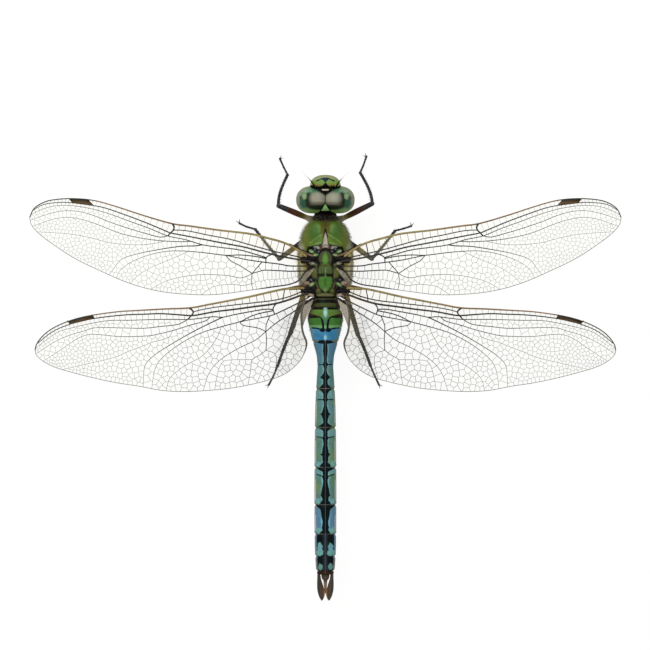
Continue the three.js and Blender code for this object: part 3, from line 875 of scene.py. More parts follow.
face_finish, shader, place, x, y, z = new_finish("face_finish", Coat_Weight=0.05, Coat_Roughness=0.2)
patches = grain(place, 0.5)
uneven = (grain(place, 0.25) - 0.5) * 0.12
side = abs(x) + uneven
on_top = z.step(11.9, 12.4)
leaf_x, leaf_y = (side - 1.2) / 1.35, (y + 20.8) / 0.74
leaf = (1 - leaf_x * leaf_x - leaf_y * leaf_y).step(-0.15, 0.25)
leaf_green = y.step(-20.5, -21.1).mix(patches.mix("6f7434", "858a48"), patches.mix("5a8430", "7fa04c"))
bow = y - side * side * 0.2
bar = bow.step(-21.93, -21.83) * (y + side).step(-20.84, -20.98)
tail = (0.13 - abs(bow + 21.72)).step(-0.05, 0.06) * side.step(1.75, 1.55)
tail = tail + (0.2 - abs(side - 1.4)).step(-0.05, 0.1) * (0.13 - abs(y + 21.35)).step(-0.06, 0.08)
wedge = (y + 21.05 - side * 1.15).step(-0.05, 0.08) * y.step(-21.25, -21.1)
teeth = y + 20.22 + side * side * 0.045 + (grain(place, 0.24) - 0.5) * 1.1
lower_seam, upper_seam = FACE_SEAMS
seam_lines = (0.05 - abs(z - upper_seam)).step(-0.05, 0.03) + (0.06 - abs(z - lower_seam)).step(-0.05, 0.03)
between_seams = z.step(lower_seam, lower_seam + 0.1) * z.step(upper_seam, upper_seam - 0.1)
colour = layered(
    patches.mix("7b8457", "a3a87c"),
    (leaf * on_top, leaf_green),
    (teeth.step(-0.3, -0.08) * on_top * 0.7, side.step(1.4, 2).mix("6a3c1e", "b3a880")),
    (((bar + tail) * on_top).step(0.3, 0.9), side.step(0.8, 1.5).mix("1a3038", "12200f")),
    (((wedge + teeth.step(-0.06, 0.06)) * on_top).step(0.3, 0.7), "030402"),
    (between_seams * 0.6, patches.mix("5c5a38", "77734a")),
    (z.step(9.2, 9) * 0.6, patches.mix("8f8f52", "b0ac72")),
    ((seam_lines + z.step(7.35, 7.1)).step(0, 1), "2c2412"),
)
feed(shader, Base_Color=colour, Roughness=0.34 + patches * 0.2, Normal=bump(cells(place, 0.22), 0.04))

face = Piece()
grid = blob(*FRONS, power=2.35, around=110, levels=56)
# Behind its brow the frons slopes down to the feelers.
slope = 1.1 * np.maximum(0, grid[..., 1] + 20.45)
grid[..., 2] -= slope * eased(grid[..., 2], FRONS[0][2], FRONS[0][2] + 1)
face.add_grid(grid)
grid = blob(*LOWER_FACE, power=2.6, around=150, levels=150)
gx, gy, gz = grid[..., 0], grid[..., 1], grid[..., 2]


def ridge(field, middle, reach):
    """1 at the middle, falling away to both sides in a bell."""
    return np.exp(-(((field - middle) / reach) ** 2))


sunk = 0.16 * eased(gz, 9.15, 9.3) * (1 - eased(gz, 9.85, 10)) + 0.25 * eased(gz, 10.3, 11)
sunk += sum(0.12 * ridge(gz, seam, 0.07) for seam in FACE_SEAMS)
sunk += 0.12 * ridge(gz, 8.95, 0.14) * ridge(gx, 0, 0.25)
sunk -= 0.22 * ridge(gz, 8.2, 0.7) * ridge(gx, 0, 1.7)
sunk -= 0.12 * ridge(gz, 10.45, 0.4) * ridge(gx, 0, 1.9)
grid[..., 1] += sunk * eased(-gy, 19.6, 21)
face.add_grid(grid)
face.made("face_plates", face_finish, "head_shell", ("face",))

# ---- Mouthparts ----
# The lower lip folds up under the head like two doors, with the hard jaws just showing at its sides.
# Each part of the lower lip: its centre, radii and lean.
LIP_PARTS = (
    ((0.95, -18.2, 5.95), (1.3, 1.95, 1.15), 8),
    ((-0.95, -18.2, 5.95), (1.3, 1.95, 1.15), -8),
    ((0, -18.9, 6.35), (1.6, 1.6, 1), 0),
    ((0, -16.9, 6), (1.5, 1.2, 0.9), 0),
)
JAW = [(2.35, -18.9, 7.6), (2.3, -19.9, 7), (1.5, -20.7, 6.75), (0.5, -20.9, 6.75)]
JAW_RADII = (0.5, 0.16)

mouth_finish, shader, place, x, *_ = new_finish("mouth_finish", Coat_Weight=0.1)
patches = grain(place, 0.6)
colour = abs(x).step(0.1, 0.04).mix(patches.mix("8a7442", "a48e58"), "1d150c")
feed(shader, Base_Color=colour, Roughness=0.4 + patches * 0.2, Normal=bump(patches, 0.08))
mouth = Piece()
for centre, radii, lean in LIP_PARTS:
    mouth.add_grid(blob(centre, radii, lean, around=64, levels=32))
mouth.made("lower_lip", mouth_finish, "head_shell", ("mouth",))
jaws = Piece()
for sign in (1, -1):
    line = smooth_line([(sign * px, py, pz) for px, py, pz in JAW], 0.15)
    jaws.rod(line, JAW_RADII, 14, 0.8, ocellus=1.0)
jaws.made("jaws", skull_finish, "head_shell")

# ---- Antennae ----
# Short bristles: two thick black joints at the base and a fine grey thread.
ANTENNA = [
    (1.95, -20.25, 12.75), (2.15, -20.6, 13.15), (2.45, -21.05, 13.6), (2.75, -21.4, 13.95),
    (3.35, -22, 14.3), (3.9, -22.55, 14.5), (4.35, -22.95, 14.7),
]
ANTENNA_RADII = [0.14, 0.13, 0.11, 0.085, 0.03, 0.022, 0.014]
NECKED = 0.12  # how much slimmer the thread is at each fifth point, where two of its joints meet

antenna_finish, shader, place, x, y, z = new_finish("antenna_finish")
patches = grain(place, 0.3)
colour = y.step(-21.3, -21.7).mix(patches.mix("0d0f08", "1f2414"), "c6c5c8")
feed(shader, Base_Color=colour, Roughness=0.4 + patches * 0.2, Normal=bump(patches, 0.02))
antenna = Piece()
line = smooth_line(ANTENNA, 0.08)
radii = [r * (1 - NECKED * (i % 5 == 0)) for i, r in enumerate(spread(ANTENNA_RADII, len(line)))]
antenna.rod(line, radii, 12)
antenna.made_both("antenna_{}_bristle", antenna_finish, "leg_shell", "antenna_{}")

# ---- Abdomen ----
# Ten rings, each a stiff plate above and a smaller one below. Behind the joint they swell, narrow to a
# waist in the third and run on level. They are blue fading to green, with a jagged black band down the
# middle, a fine cross ridge on each long ring and a black rim where each slides over the next.
ABDOMEN = [
    (0, 2.3, 11.6, 7.6), (1.3, 2.6, 11.8, 7.3), (3.6, 3.27, 11.9, 6.9), (5.8, 2.85, 11.8, 7),
    (8, 2.28, 11.4, 7.3), (10.4, 1.6, 11, 7.7), (12.4, 1.42, 10.9, 7.8), (15, 1.6, 10.9, 7.7),
    (20, 1.82, 10.9, 7.5), (27, 1.93, 10.75, 7.3), (35, 1.97, 10.5, 7.05), (41, 1.95, 10.3, 6.9),
    (45.5, 1.9, 10.1, 6.85), (49.2, 1.7, 9.8, 6.9), (49.9, 1.5, 9.65, 7), (50.4, 1.42, 9.5, 7.1),
]
RING_ENDS = [0, 2.09, 8, 16.55, 23.64, 30.91, 37.73, 43.09, 47.09, 49.82, 50.4]
BODY_ROUNDING = 0.8
# The black band on each long ring: places as shares of the ring's length, and the band's half width.
BAND = {
    3: [
        (0, 0.34), (0.06, 0.38), (0.19, 0.45), (0.32, 0.31), (0.42, 0.28), (0.477, 0.55), (0.52, 0.32),
        (0.6, 0.24), (0.66, 0.34), (0.7, 0.55), (0.735, 0.74), (0.753, 1.03), (0.775, 0.7), (0.82, 0.4),
        (0.9, 0.44), (0.935, 0.77), (1, 1.2),
    ],
    4: [
        (0, 1.2), (0.067, 0.62), (0.13, 0.38), (0.22, 0.36), (0.271, 0.52), (0.34, 0.28), (0.44, 0.31),
        (0.53, 0.48), (0.61, 0.66), (0.635, 0.76), (0.653, 1.02), (0.675, 0.72), (0.78, 0.48), (0.86, 0.4),
        (0.91, 0.71), (0.96, 1.2), (1, 1.35),
    ],
    5: [
        (0, 1.2), (0.05, 0.64), (0.08, 0.42), (0.19, 0.4), (0.26, 0.58), (0.31, 0.42), (0.43, 0.4),
        (0.55, 0.56), (0.64, 0.64), (0.675, 1), (0.7, 0.62), (0.8, 0.55), (0.87, 0.45), (0.92, 0.88),
        (0.97, 1.36), (1, 1.5),
    ],
    6: [
        (0, 1.6), (0.04, 1.4), (0.07, 0.94), (0.11, 0.5), (0.18, 0.48), (0.25, 0.6), (0.34, 0.42),
        (0.46, 0.49), (0.57, 0.67), (0.69, 0.75), (0.73, 0.94), (0.78, 0.67), (0.87, 0.56), (0.94, 0.91),
        (0.98, 1.55), (1, 1.7),
    ],
    7: [
        (0, 1.7), (0.06, 1.5), (0.12, 1.02), (0.18, 0.85), (0.28, 0.8), (0.36, 0.76), (0.55, 0.53),
        (0.66, 0.55), (0.77, 0.68), (0.83, 0.55), (0.89, 0.67), (0.94, 1.18), (1, 1.7),
    ],
}
# Each cross ridge: its place at the middle as a share of the ring's length, and how far it slants forward.
CROSS_RIDGE = {3: (0.477, 0), 4: (0.271, 0), 5: (0.26, 0.2), 6: (0.25, 0.34)}

abdomen_finish, shader, place, x, y, z = new_finish(
    "abdomen_finish", Specular_IOR_Level=0.06, Coat_Weight=0.02
)
mottle = grain(place, 1.1)
fine = grain(place, 0.22)
broad = grain(place, 2.3)
scallops = (cells(place, 0.42, feature="SMOOTH_F1") - 0.4) * 0.32
edge_noise = (grain(place, 0.28) - 0.5) * 0.14
side = abs(x)
along = y / 50
blue_share = along.ramp([
    (0, 0), (0.085, 0), (0.12, 1), (0.2, 0.85), (0.28, 0.4), (0.33, 0.6), (0.4, 0.35),
    (0.68, 0.2), (0.75, 0.45), (0.78, 1), (0.9, 0.75),
])
long_rings = along.step(0.17, 0.3) * along.step(0.76, 0.7)
edge = mark(place, "edge") - scallops
halo = edge.step(0.1, 0.3).mix(fine.mix("50868c", "78a8ae"), fine.mix("62a0a8", "98ced2"))
halo = (y.step(39, 40) * 0.6).mix(halo, fine.mix("5a9cc0", "86c2dc"))
# Painted rim light: the flanks, seen edge on, are pale grey, lavender on the seventh ring and beige on the
# ninth.
painted_rim_grey = layered(
    fine.mix("7d8a84", "adb5ab"),
    (y.step(38.8, 39.6), fine.mix("767b8c", "9fa3b4")),
    (y.step(47, 47.6), fine.mix("77716a", "a39a8f")),
)
flank = side - mark(place, "half_width") * (3.36 + y.step(20, 17) * 0.28)
green = layered(
    mottle.mix("2a5420", "4c8438"),
    (y.step(3.5, 3.2), mottle.mix("466426", "688a3e")),
    (y.step(2.15, 1.9), fine.mix("2b341a", "4e5a2c")),
    (side.step(0.55, 0.3) * y.step(2.8, 3.4), "4c7852"),
    (y.step(4.75, 5.25) * y.step(5.6, 5.4) * 0.7, fine.mix("6aa468", "9ccb92")),
    (side.step(2.1, 3) * y.step(3.6, 3.4), "64622c"),
)
blue = (side.step(1.5, 2.6) * 0.7).mix(mottle.mix("1f6a90", "4f8fb8"), "6c989a")
spots = mottle.step(0.4, 0.6).mix(fine.mix("47868c", "7cb2bc"), fine.mix("4f907e", "8cc4aa"))
spots = y.step(47, 47.2).mix(spots, fine.mix("4a7470", "77a89a"))
pale = y.step(8.4, 8.2).mix(fine.mix("5a5850", "8a8880"), fine.mix("5a5f3c", "8c8c64"))
colour = layered(
    blue_share.mix(mottle.mix("47683a", "71885a"), mottle.mix("3d738c", "6c92b0")),
    (y.step(17, 12) * y.step(7.9, 8.4) * 0.35, "3a6f8c"),
    (along.step(0.2, 0.33) * along.step(0.74, 0.68) * 0.4, "558a74"),
    (broad.step(0.53, 0.68) * long_rings * 0.6, "75904e"),
    (broad.step(0.45, 0.3) * long_rings * 0.3, "5f94b4"),
    (edge.step(-0.1, 0.16) * 0.85, halo),
    # The pale flanks are painted rim light.
    (flank.step(-0.05, 0.3), painted_rim_grey),
    (zone("seam", 0.04), "dcded6"),
    (mark(place, "under").step(-0.05, 0.3), mottle.mix("3d4238", "5d6253")),
    (zone("green"), green),
    (zone("blue"), blue),
    (zone("brown", 0.12), mottle.mix("1c1109", "463018")),
    (y.step(0.4, 0.1), mottle.mix("383a20", "54543a")),
    (zone("band"), mottle.mix("020a0c", "08171a")),
    (zone("bloom", 0.3), fine.mix("1c242a", "353e46")),
    ((mark(place, "teal") - scallops).step(-0.08, 0.05), spots),
    (zone("keel"), fine.mix("343c44", "565c60")),
    (zone("pale"), pale),
    # Painted highlights: pale glints down the middle of the first two rings.
    (zone("white", 0.25), "a9d8cf"),
)
feed(shader, Base_Color=colour, Roughness=0.34 + fine * 0.22, Normal=bump(fine + mottle * 0.5, 0.04))


def pinched(number):
    """How a ring's rims draw in, the rear one with a raised lip, as a function for its Shell."""
    start, end = RING_ENDS[number - 1] + JOINT_GAP, RING_ENDS[number] - JOINT_GAP
    depth = min(0.4, (end - start) / 4)
    squeeze = 0.035 if number < 4 else 0.065
    lip = 0.02 if number > 1 else 0.0

    def rims(places, width, top, underside):
        near = np.minimum(places - start, end - places)
        pinch = 1 - squeeze * (1 - eased(near, 0, depth))
        pinch += lip * ridge(end - places, depth * 0.9, 0.22)
        middle = (top + underside) / 2
        return width * pinch, blend(middle, top, pinch), blend(middle, underside, pinch)

    return start, end, rims


def ring_shell(number):
    """One ring, with its rims pinched in, and the place of each point as a share of the ring."""
    start, end, rims = pinched(number)
    step = 0.075 if number < 10 else 0.05
    shell = Shell(ABDOMEN, start, end, step, 120, rims=rims, rounding=BODY_ROUNDING)
    return shell, (shell.y - start) / (end - start)


def table_at(table, place):
    """The second column of a table, read at places in the first."""
    return np.interp(place, *zip(*table))


for number in range(1, 11):
    ring, share = ring_shell(number)
    x, y, z = abs(ring.x), ring.y, ring.z
    upness = ring.out[..., 2]
    length = y.max() - y.min()
    half_width = np.max(np.abs(ring.x), axis=1, keepdims=True) + 0 * x
    none = np.full(x.shape, -1)
    band = edge = pale = brown = green = blue = teal = bloom = white = seam = none
    relief = 0.05 * eased(0.1 - x, -0.12, 0.05)
    if number == 1:
        # A short green cushion in brown, between two black cross bars.
        green = plate(x, y, both_sides([(0.7, 0.8), (1.75, 1), (2.1, 1.3), (1.8, 1.6), (1, 1.68)]))
        brown = 1.0 - eased(green, 0, 0.1) * 2
        band = most(0.28 - abs(y - 0.56), y - 1.74 - 0.3 * eased(0.7 - x, 0, 0.6))
        band = band - 0.1 * eased(x, 0.8, 2)
        # A painted highlight in the middle.
        white = oval(x, y, (0, 2.1), (0.3, 0.3))
        relief += 0.2 * eased(y, 0.7, 1) * (1 - eased(y, 1.5, 1.8)) - 0.08
    elif number == 2:
        # Green with black wedges and hooks and brown towards the sides, then blue.
        wedge = [(3.3, 3.45), (2.2, 3.45), (1.2, 3.42), (0.8, 3.62), (0.55, 4.1), (0.42, 4.8), (0.4, 5.6)]
        hook = [(2.45, 5.45), (1.8, 5.5), (1.25, 5.6), (0.95, 5.75), (0.45, 5.9)]
        green = most(0.62 - abs(y - 2.6 - 0.03 * x * x), 0.92 - abs(y - 4.45)) + 0.05
        green = most(green, plate(x, y, both_sides([(0.1, 2.2), (0.4, 3.5), (0.3, 6.1)])))
        blue = y - 5.62 - 0.02 * x
        band = most(span(x, y, wedge, 0.26), span(x, y, wedge[4:], 0.4), span(x, y, hook, 0.28))
        band = most(band, ovals(x, y, (0.55, 5.85, 0.5, 0.38), (0, 8, 1.85, 0.3)))
        brown = plate(x, y, [(3.6, 2.75), (2.9, 2.82), (1.9, 3.02), (1, 3.36), (1.2, 3.6), (3.6, 3.82)])
        pale = span(x, y, [(1.5, 7.95), (2.4, 7.75)], 0.5)
        # Painted highlights on the middle line, in front and behind.
        white = ovals(x, y, (0, 2.65, 0.3, 0.7), (0, 7.2, 0.2, 0.4))
        relief += 0.12 * eased(0.92 - abs(y - 4.42), -0.1, 0.3) * eased(x, 0.3, 0.7)
        relief -= 0.1 * eased(band, -0.15, 0.1)
        relief *= eased(upness, 0.3, 0.7)
    elif number <= 7:
        # The long rings: the black band, a pale rear rim and, on most of them, the cross ridge.
        reach = table_at(BAND[number], share)
        band = most(reach - x, 0.14 - (1 - share) * length)
        if number == 3:
            band = most(band, 8.36 - 0.1 * x * x - y)
        edge = 0.26 + 0.1 * (number > 5) - (x - reach) - 0.4 * eased(reach, 0.5, 0.95)
        if number > 3:
            seam = 0.045 + 0.03 * (number > 4) - 1.5 * abs(upness - 0.45)
            seam -= 0.3 * eased(abs(share - 0.6), 0.25, 0.38)
        if number in CROSS_RIDGE:
            middle_share, slant = CROSS_RIDGE[number]
            ridge_y = y.min() + middle_share * length - slant * x
            cross_ridge = np.minimum(0.095 - abs(y - ridge_y), half_width * 0.8 - x)
            band = most(band, cross_ridge)
            relief += 0.05 * eased(cross_ridge, -0.1, 0.03)
            if number > 3:
                block = np.minimum(np.minimum(x - reach, ridge_y - 0.16 - y), 0.12)
                edge = most(edge, np.minimum(block, y - y.min() - 0.3))
        pale = 0.05 - abs((1 - share) * length - 0.05)
        if number > 4:
            teal = oval(x, y, (half_width * 0.66, y.max() - 0.62), (0.42, 0.62)) - 0.02
    elif number < 10:
        # Nearly black above, with a grey bloom between two spots.
        teal = ovals(x, y, (1.02, 45.5, 0.46, 0.85), (1, 46.4, 0.66, 0.68), (0.92, 48.98, 0.42, 0.62))
        band = np.minimum(1, half_width * 0.84 - x)
        bloom = 0.28 + 0.22 * share - x
    else:
        brown = -none
    keel = np.minimum(0.055 - x, 0.4) if number > 2 else none
    under = -upness - 0.35
    band = np.where(under > 0.1, -1, band)
    if number > 3:
        # The fine raised line low on each flank.
        relief += 0.05 * ridge(upness, 0.12, 0.07)
    ring.raise_by(relief * eased(np.minimum(share, 1 - share), 0, 0.05))
    ring.closed(
        band=band, keel=keel, edge=edge, pale=pale, brown=brown, green=green, blue=blue, teal=teal,
        bloom=bloom, white=white, seam=seam, half_width=half_width / 4, under=under,
    )
    node = f"abdomen_{number:02d}"
    ring.made(f"{node}_ring", abdomen_finish, "abdomen_shell", (node,))

# The soft dark skin that joins the rings, and the first of them to the thorax, shows as a line between.
SKIN_SHARE = 0.88  # of the body's size beside it
SKIN_REACH = 0.25  # each way from a joint
SKIN_SIDES = 60

joint_skin = Piece()
for end in RING_ENDS[:-1]:
    width, top, underside = (float(v[0]) for v in profile_at(ABDOMEN, np.array([end]), BODY_ROUNDING))
    middle = blend(underside, top, WAIST)
    rings = []
    for offset in (-2 * SKIN_REACH if end == 0 else -SKIN_REACH, SKIN_REACH):
        for c, s in circle(SKIN_SIDES):
            reach = SKIN_SHARE * (top - middle if s > 0 else middle - underside)
            rings.append((width * SKIN_SHARE * c, end + offset, middle + reach * s))
    joint_skin.add(rings, tube_faces(2, SKIN_SIDES))
joint_skin.made("joint_skin", dark_finish, "abdomen_shell")

# ---- Claspers ----
# The grip of the tail: two long leaf-shaped upper claspers, dark along their stout outer ribs and amber
# where they thin inwards, and a single short tan one below and between them, under the last ring's lobe.
CLASPER_INNER = [
    (50.3, 0.93), (51.3, 0.78), (52.2, 0.48), (52.9, 0.27), (53.5, 0.1), (54.1, 0.07), (54.6, 0.2),
    (55.1, 0.46),
]
CLASPER_OUTER = [(50.3, 1.48), (52.5, 1.52), (53.4, 1.42), (54.2, 1.24), (54.7, 1.02), (55.1, 0.78)]
CLASPER_RIB = [
    (1.3, 50.4, 8.75), (1.32, 52, 8.8), (1.27, 53.2, 8.75), (1.08, 54.2, 8.62), (0.88, 54.75, 8.55),
    (0.64, 55.2, 8.5),
]
RIB_RADIUS = 0.2
CLASPER_ROOT, CLASPER_RUN = 50.3, 4.6
CLASPER_LEVELS = (8.75, 8.5)  # how high an upper clasper lies at its root, and one run behind it
CLASPER_THICKNESS = 0.26
INNER_THINNING = 0.3  # the thickness of its inner edge as a share of the outer edge's
TIP_ROUNDING = 12  # the last twelfth of its length is rounded off

clasper_finish, shader, place, x, y, z = new_finish("clasper_finish", Coat_Weight=0.1, Coat_Roughness=0.2)
streaks = grain(place.node("ShaderNodeMapping", None, {"Vector": place, "Scale": (6, 1, 6)}), 1.6)
inwards = mark(place, "inwards")
colour = layered(
    streaks.mix("231f1c", "59524d"),
    (inwards.step(0.25, 0.75) * y.step(51.5, 53.2), streaks.mix("3d2408", "6b4a24")),
    (inwards.step(0.75, 1) * y.step(52.8, 54.4), "b09c80"),
    (mark(place, "tan"), streaks.mix("6f604c", "93826c")),
    (mark(place, "lobe"), streaks.mix("3a2e22", "5c4c3c")),
)
feed(shader, Base_Color=colour, Roughness=0.4 + streaks * 0.2, Normal=bump(streaks, 0.04))


def leaf(inner, outer, level, thick, sections=44, around=20):
    """A leaf-shaped plate between two edges given as (place, reach), as rings along it."""
    piece = Piece()
    rings, inwards = [], []
    for share in np.linspace(0, 1, sections):
        place_y = blend(inner[0][0], inner[-1][0], share)
        inside, outside = table_at(inner, place_y), table_at(outer, place_y)
        closing = math.sqrt(max(0.02, 1 - max(0, share * TIP_ROUNDING - TIP_ROUNDING + 1) ** 2))
        for c, s in circle(around):
            u = 0.5 - 0.5 * c
            height = s * blend(thick, thick * INNER_THINNING, u) * closing
            rings.append((blend(outside, inside, u), place_y, level(place_y) - 0.12 * u + height))
            inwards.append(u)
    piece.add(rings, tube_faces(sections, around), inwards=inwards)
    return piece


def clasper_level(place_y):
    return blend(*CLASPER_LEVELS, (place_y - CLASPER_ROOT) / CLASPER_RUN)


clasper = leaf(CLASPER_INNER, CLASPER_OUTER, clasper_level, CLASPER_THICKNESS)
# The rib swells a little way out and thins to the tip.
line = smooth_line(CLASPER_RIB, 0.12)
radii = []
for share in spread((0, 1), len(line)):
    radii.append(RIB_RADIUS * math.sin(math.pi * (0.22 + 0.5 * share)) * blend(1.1, 0.55, share**3))
clasper.rod(line, radii, 14)
clasper.made_both("cercus_{}_leaf", clasper_finish, "claspers", "cercus_{}")

STRIP_ENDS = (50.45, 54)
STRIP_LEVELS = (7.75, 8)
STRIP_ROWS, STRIP_SIDES = 40, 24

# The lower clasper tapers evenly to a blunt tip.
strip = Piece()
rings = []
for share in np.linspace(0, 1, STRIP_ROWS):
    place_y, level = blend(*STRIP_ENDS, share), blend(*STRIP_LEVELS, share)
    half_width = 0.35 * (1 - share) ** 0.8 + 0.11 * math.sqrt(1 - share**6)
    half_height = 0.3 * (1 - 0.6 * share)
    rings += [(half_width * c, place_y, level + half_height * s) for c, s in circle(STRIP_SIDES)]
strip.add(rings, tube_faces(STRIP_ROWS, STRIP_SIDES), tan=1.0)
strip.made("epiproct_strip", clasper_finish, "claspers", ("epiproct",))

lobe = Piece()
lobe.add_grid(blob((0, 50.5, 8.55), (0.76, 1.1, 0.42), power=2.2, around=48, levels=24), lobe=1.0)
lobe.made("tail_lobe", clasper_finish, "claspers")

# ---- Wings ----
# Four stiff clear wings, each hinged in the thorax wall by its thickened root. A wing is a film of cuticle
# in a net of hollow veins: a few long ones fan out from the root, folded by turns up and down, and cross
# veins part the fields between them into cells, square near the front edge and many-sided behind.

# A wing's edges from root to tip, in front and behind. Each main vein has its points outwards from the
# root, its radius at both ends, and how far its fold lifts or lowers it. Each hinge part has its points,
# its radii, and how pale it is.
FORE_EDGES = ([
    (3.4, -7.5), (4.6, -8.4), (6.4, -9.55), (8.3, -10.3), (10, -10.75), (13.7, -11.65), (19.2, -12.3),
    (24.6, -13.05), (27.9, -13.5), (32.8, -14.9), (38.2, -16.65), (41.9, -17.65), (45.5, -18),
    (48.8, -17.85), (51, -17.35), (52.8, -16.2), (53.6, -14.6)
], [
    (3.4, -4.9), (3.9, -4.4), (4.6, -3.4), (6.4, -2.5), (10, -1.95), (15.5, -1.15), (20, -0.62),
    (24.6, -0.64), (30, -1.2), (35.5, -2.65), (41, -5), (45.5, -7.2), (49.2, -9.6), (51.9, -11.65),
    (53.3, -13.3), (53.6, -14.6)
])
FORE_VEINS = {
    "subcosta": ([
        (2.6, -7), (4.1, -7.3), (6.4, -7.8), (10.1, -8.65), (13.7, -9.65), (17.3, -10.65), (21, -11.35),
        (24.6, -12.1), (26.4, -12.3), (27.6, -12.3)
    ], 0.12, 0.09, -0.2),
    "radius": ([
        (2.6, -6.6), (4.1, -6.85), (7.3, -7.4), (11, -8.25), (14.6, -9.2), (18.3, -9.9), (21.9, -10.6),
        (25.5, -11.3), (28.1, -11.8), (29.2, -12.25), (32.8, -13.75), (36.4, -15.1), (40.1, -16.35),
        (42.8, -16.85), (46.1, -17.25), (48.3, -17.3), (51, -16.95), (53, -15.9)
    ], 0.165, 0.065, 0.18),
    "nodus": ([
        (27.8, -13.5), (27.45, -12.9), (27.6, -12.3), (28.1, -11.8), (28.6, -11.25)
    ], 0.17, 0.12, 0.1),
    "first_sector": ([
        (10.8, -7.35), (12.8, -7.95), (15.5, -8.7), (19.2, -9.2), (22.3, -9.65), (25.5, -10.6),
        (28.6, -11.25), (31.9, -12.6), (35.5, -13.9), (39.2, -15.25), (42.8, -16.25), (46.4, -16.75),
        (49.2, -16.65), (51.5, -16), (53.5, -15)
    ], 0.11, 0.035, -0.14),
    "second_sector": ([
        (28.6, -11.25), (30.1, -11.05), (32.8, -11.75), (35.5, -12.55), (39.2, -13.8), (41.9, -14.9),
        (44.6, -15.65), (47.3, -15.8), (50.1, -15.25), (53.7, -14)
    ], 0.08, 0.035, 0.04),
    "middle_sector": ([
        (23.5, -10), (24.4, -10.25), (26.4, -10.2), (30.1, -10.4), (33.7, -10.9), (37.3, -11.75),
        (41, -13.2), (43.7, -14.1), (46.4, -14.6), (49.2, -14.3), (53.4, -12.9)
    ], 0.08, 0.032, 0.12),
    "front_brace": ([
        (28.9, -10.35), (31.9, -9.75), (35.5, -9.65), (39.2, -10.05), (42.8, -10.95), (46.5, -11.6),
        (52.4, -12)
    ], 0.04, 0.03, -0.04),
    "fourth_sector": ([
        (22.3, -9.65), (23.7, -9.45), (26.4, -9.35), (30.1, -8.8), (33.7, -8.1), (36.4, -7.3),
        (37.5, -6.55), (38.4, -5.3), (39.4, -4)
    ], 0.11, 0.03, -0.14),
    "mid_vein": ([
        (10.8, -7.15), (12.8, -7.55), (15.5, -7.8), (18.2, -7.75), (21.9, -8.2), (25.5, -8.5), (28.3, -8.5),
        (31, -8.05), (33.3, -7.35), (35.5, -6.35), (37.2, -5), (38, -3.4)
    ], 0.11, 0.03, 0.12),
    "arculus": ([(9.7, -7.95), (10.6, -7.5), (10.8, -7.1), (10.8, -6.45)], 0.12, 0.1, 0),
    "cubitus": ([
        (2.8, -5.8), (6.4, -5.82), (8.3, -6.15), (10.8, -6.45), (13.7, -6.85), (15.5, -7.2), (18.1, -7.75)
    ], 0.13, 0.08, -0.14),
    "triangle_inner": ([(11.5, -6.55), (12.1, -5.85), (13.3, -4.45)], 0.09, 0.08, -0.05),
    "triangle_outer": ([
        (13.3, -4.45), (14.3, -5.1), (15.5, -5.85), (17.2, -6.75), (18.1, -7.75)
    ], 0.08, 0.08, 0),
    "anal_vein": ([
        (3.6, -4.9), (6.4, -4.85), (8.3, -4.95), (11, -5.05), (11.9, -4.85), (13.3, -4.45)
    ], 0.12, 0.08, 0.12),
    "hind_sector": ([
        (13.3, -4.45), (14.1, -4), (15.5, -3.65), (17.7, -4.05), (21, -4.25), (23.7, -4.15), (26.4, -3.75),
        (29.2, -2.95), (31.8, -1.5)
    ], 0.06, 0.03, -0.12),
    "anal_post": ([(13.3, -4.45), (13.4, -3.4), (13.4, -2.6), (13.1, -1.3)], 0.07, 0.05, 0.04),
    "anal_branch": ([
        (13.4, -2.6), (15, -2.25), (16.4, -2.45), (18.3, -2.4), (20.4, -2), (22.6, -0.5)
    ], 0.045, 0.03, 0.06),
    "hind_brace": ([
        (25, -8.4), (27.4, -7.3), (29.6, -6.4), (31.9, -5.4), (34.2, -3.9), (35.6, -2.4)
    ], 0.036, 0.03, -0.04),
    "stout_cross_vein": ([(7.35, -10), (7.55, -9.2), (7.75, -8.1), (7.8, -7.5)], 0.1, 0.09, 0),
}
FORE_HINGE = [
    (
        [(6.6, -9.6), (5.2, -8.95), (4.2, -8.4), (3.2, -7.95), (2.3, -7.65)],
        [0.12, 0.15, 0.17, 0.2, 0.2], 0.6,
    ),
    ([(6.5, -9.85), (4.9, -9.1), (3.6, -8.35), (2.6, -7.98)], [0.07, 0.08, 0.09, 0.08], 0.05),
    ([(6.2, -9.15), (5, -8.6), (4.1, -8), (3.4, -7.6)], [0.09, 0.13, 0.18, 0.2], 0.1),
    ([(4.25, -7.05), (3.5, -7.05), (2.6, -7.1), (1.9, -7.2)], [0.4, 0.56, 0.5, 0.36], 0.02),
    ([(4.3, -6.6), (3.7, -6.6), (3.3, -6.7)], [0.26, 0.3, 0.3], 0.1),
    (
        [(2.2, -5.75), (2.9, -5.3), (3.5, -4.9), (4, -4.3), (4.7, -3.3), (5.4, -2.75)],
        [0.24, 0.22, 0.16, 0.12, 0.1, 0.07], 0.15,
    ),
]
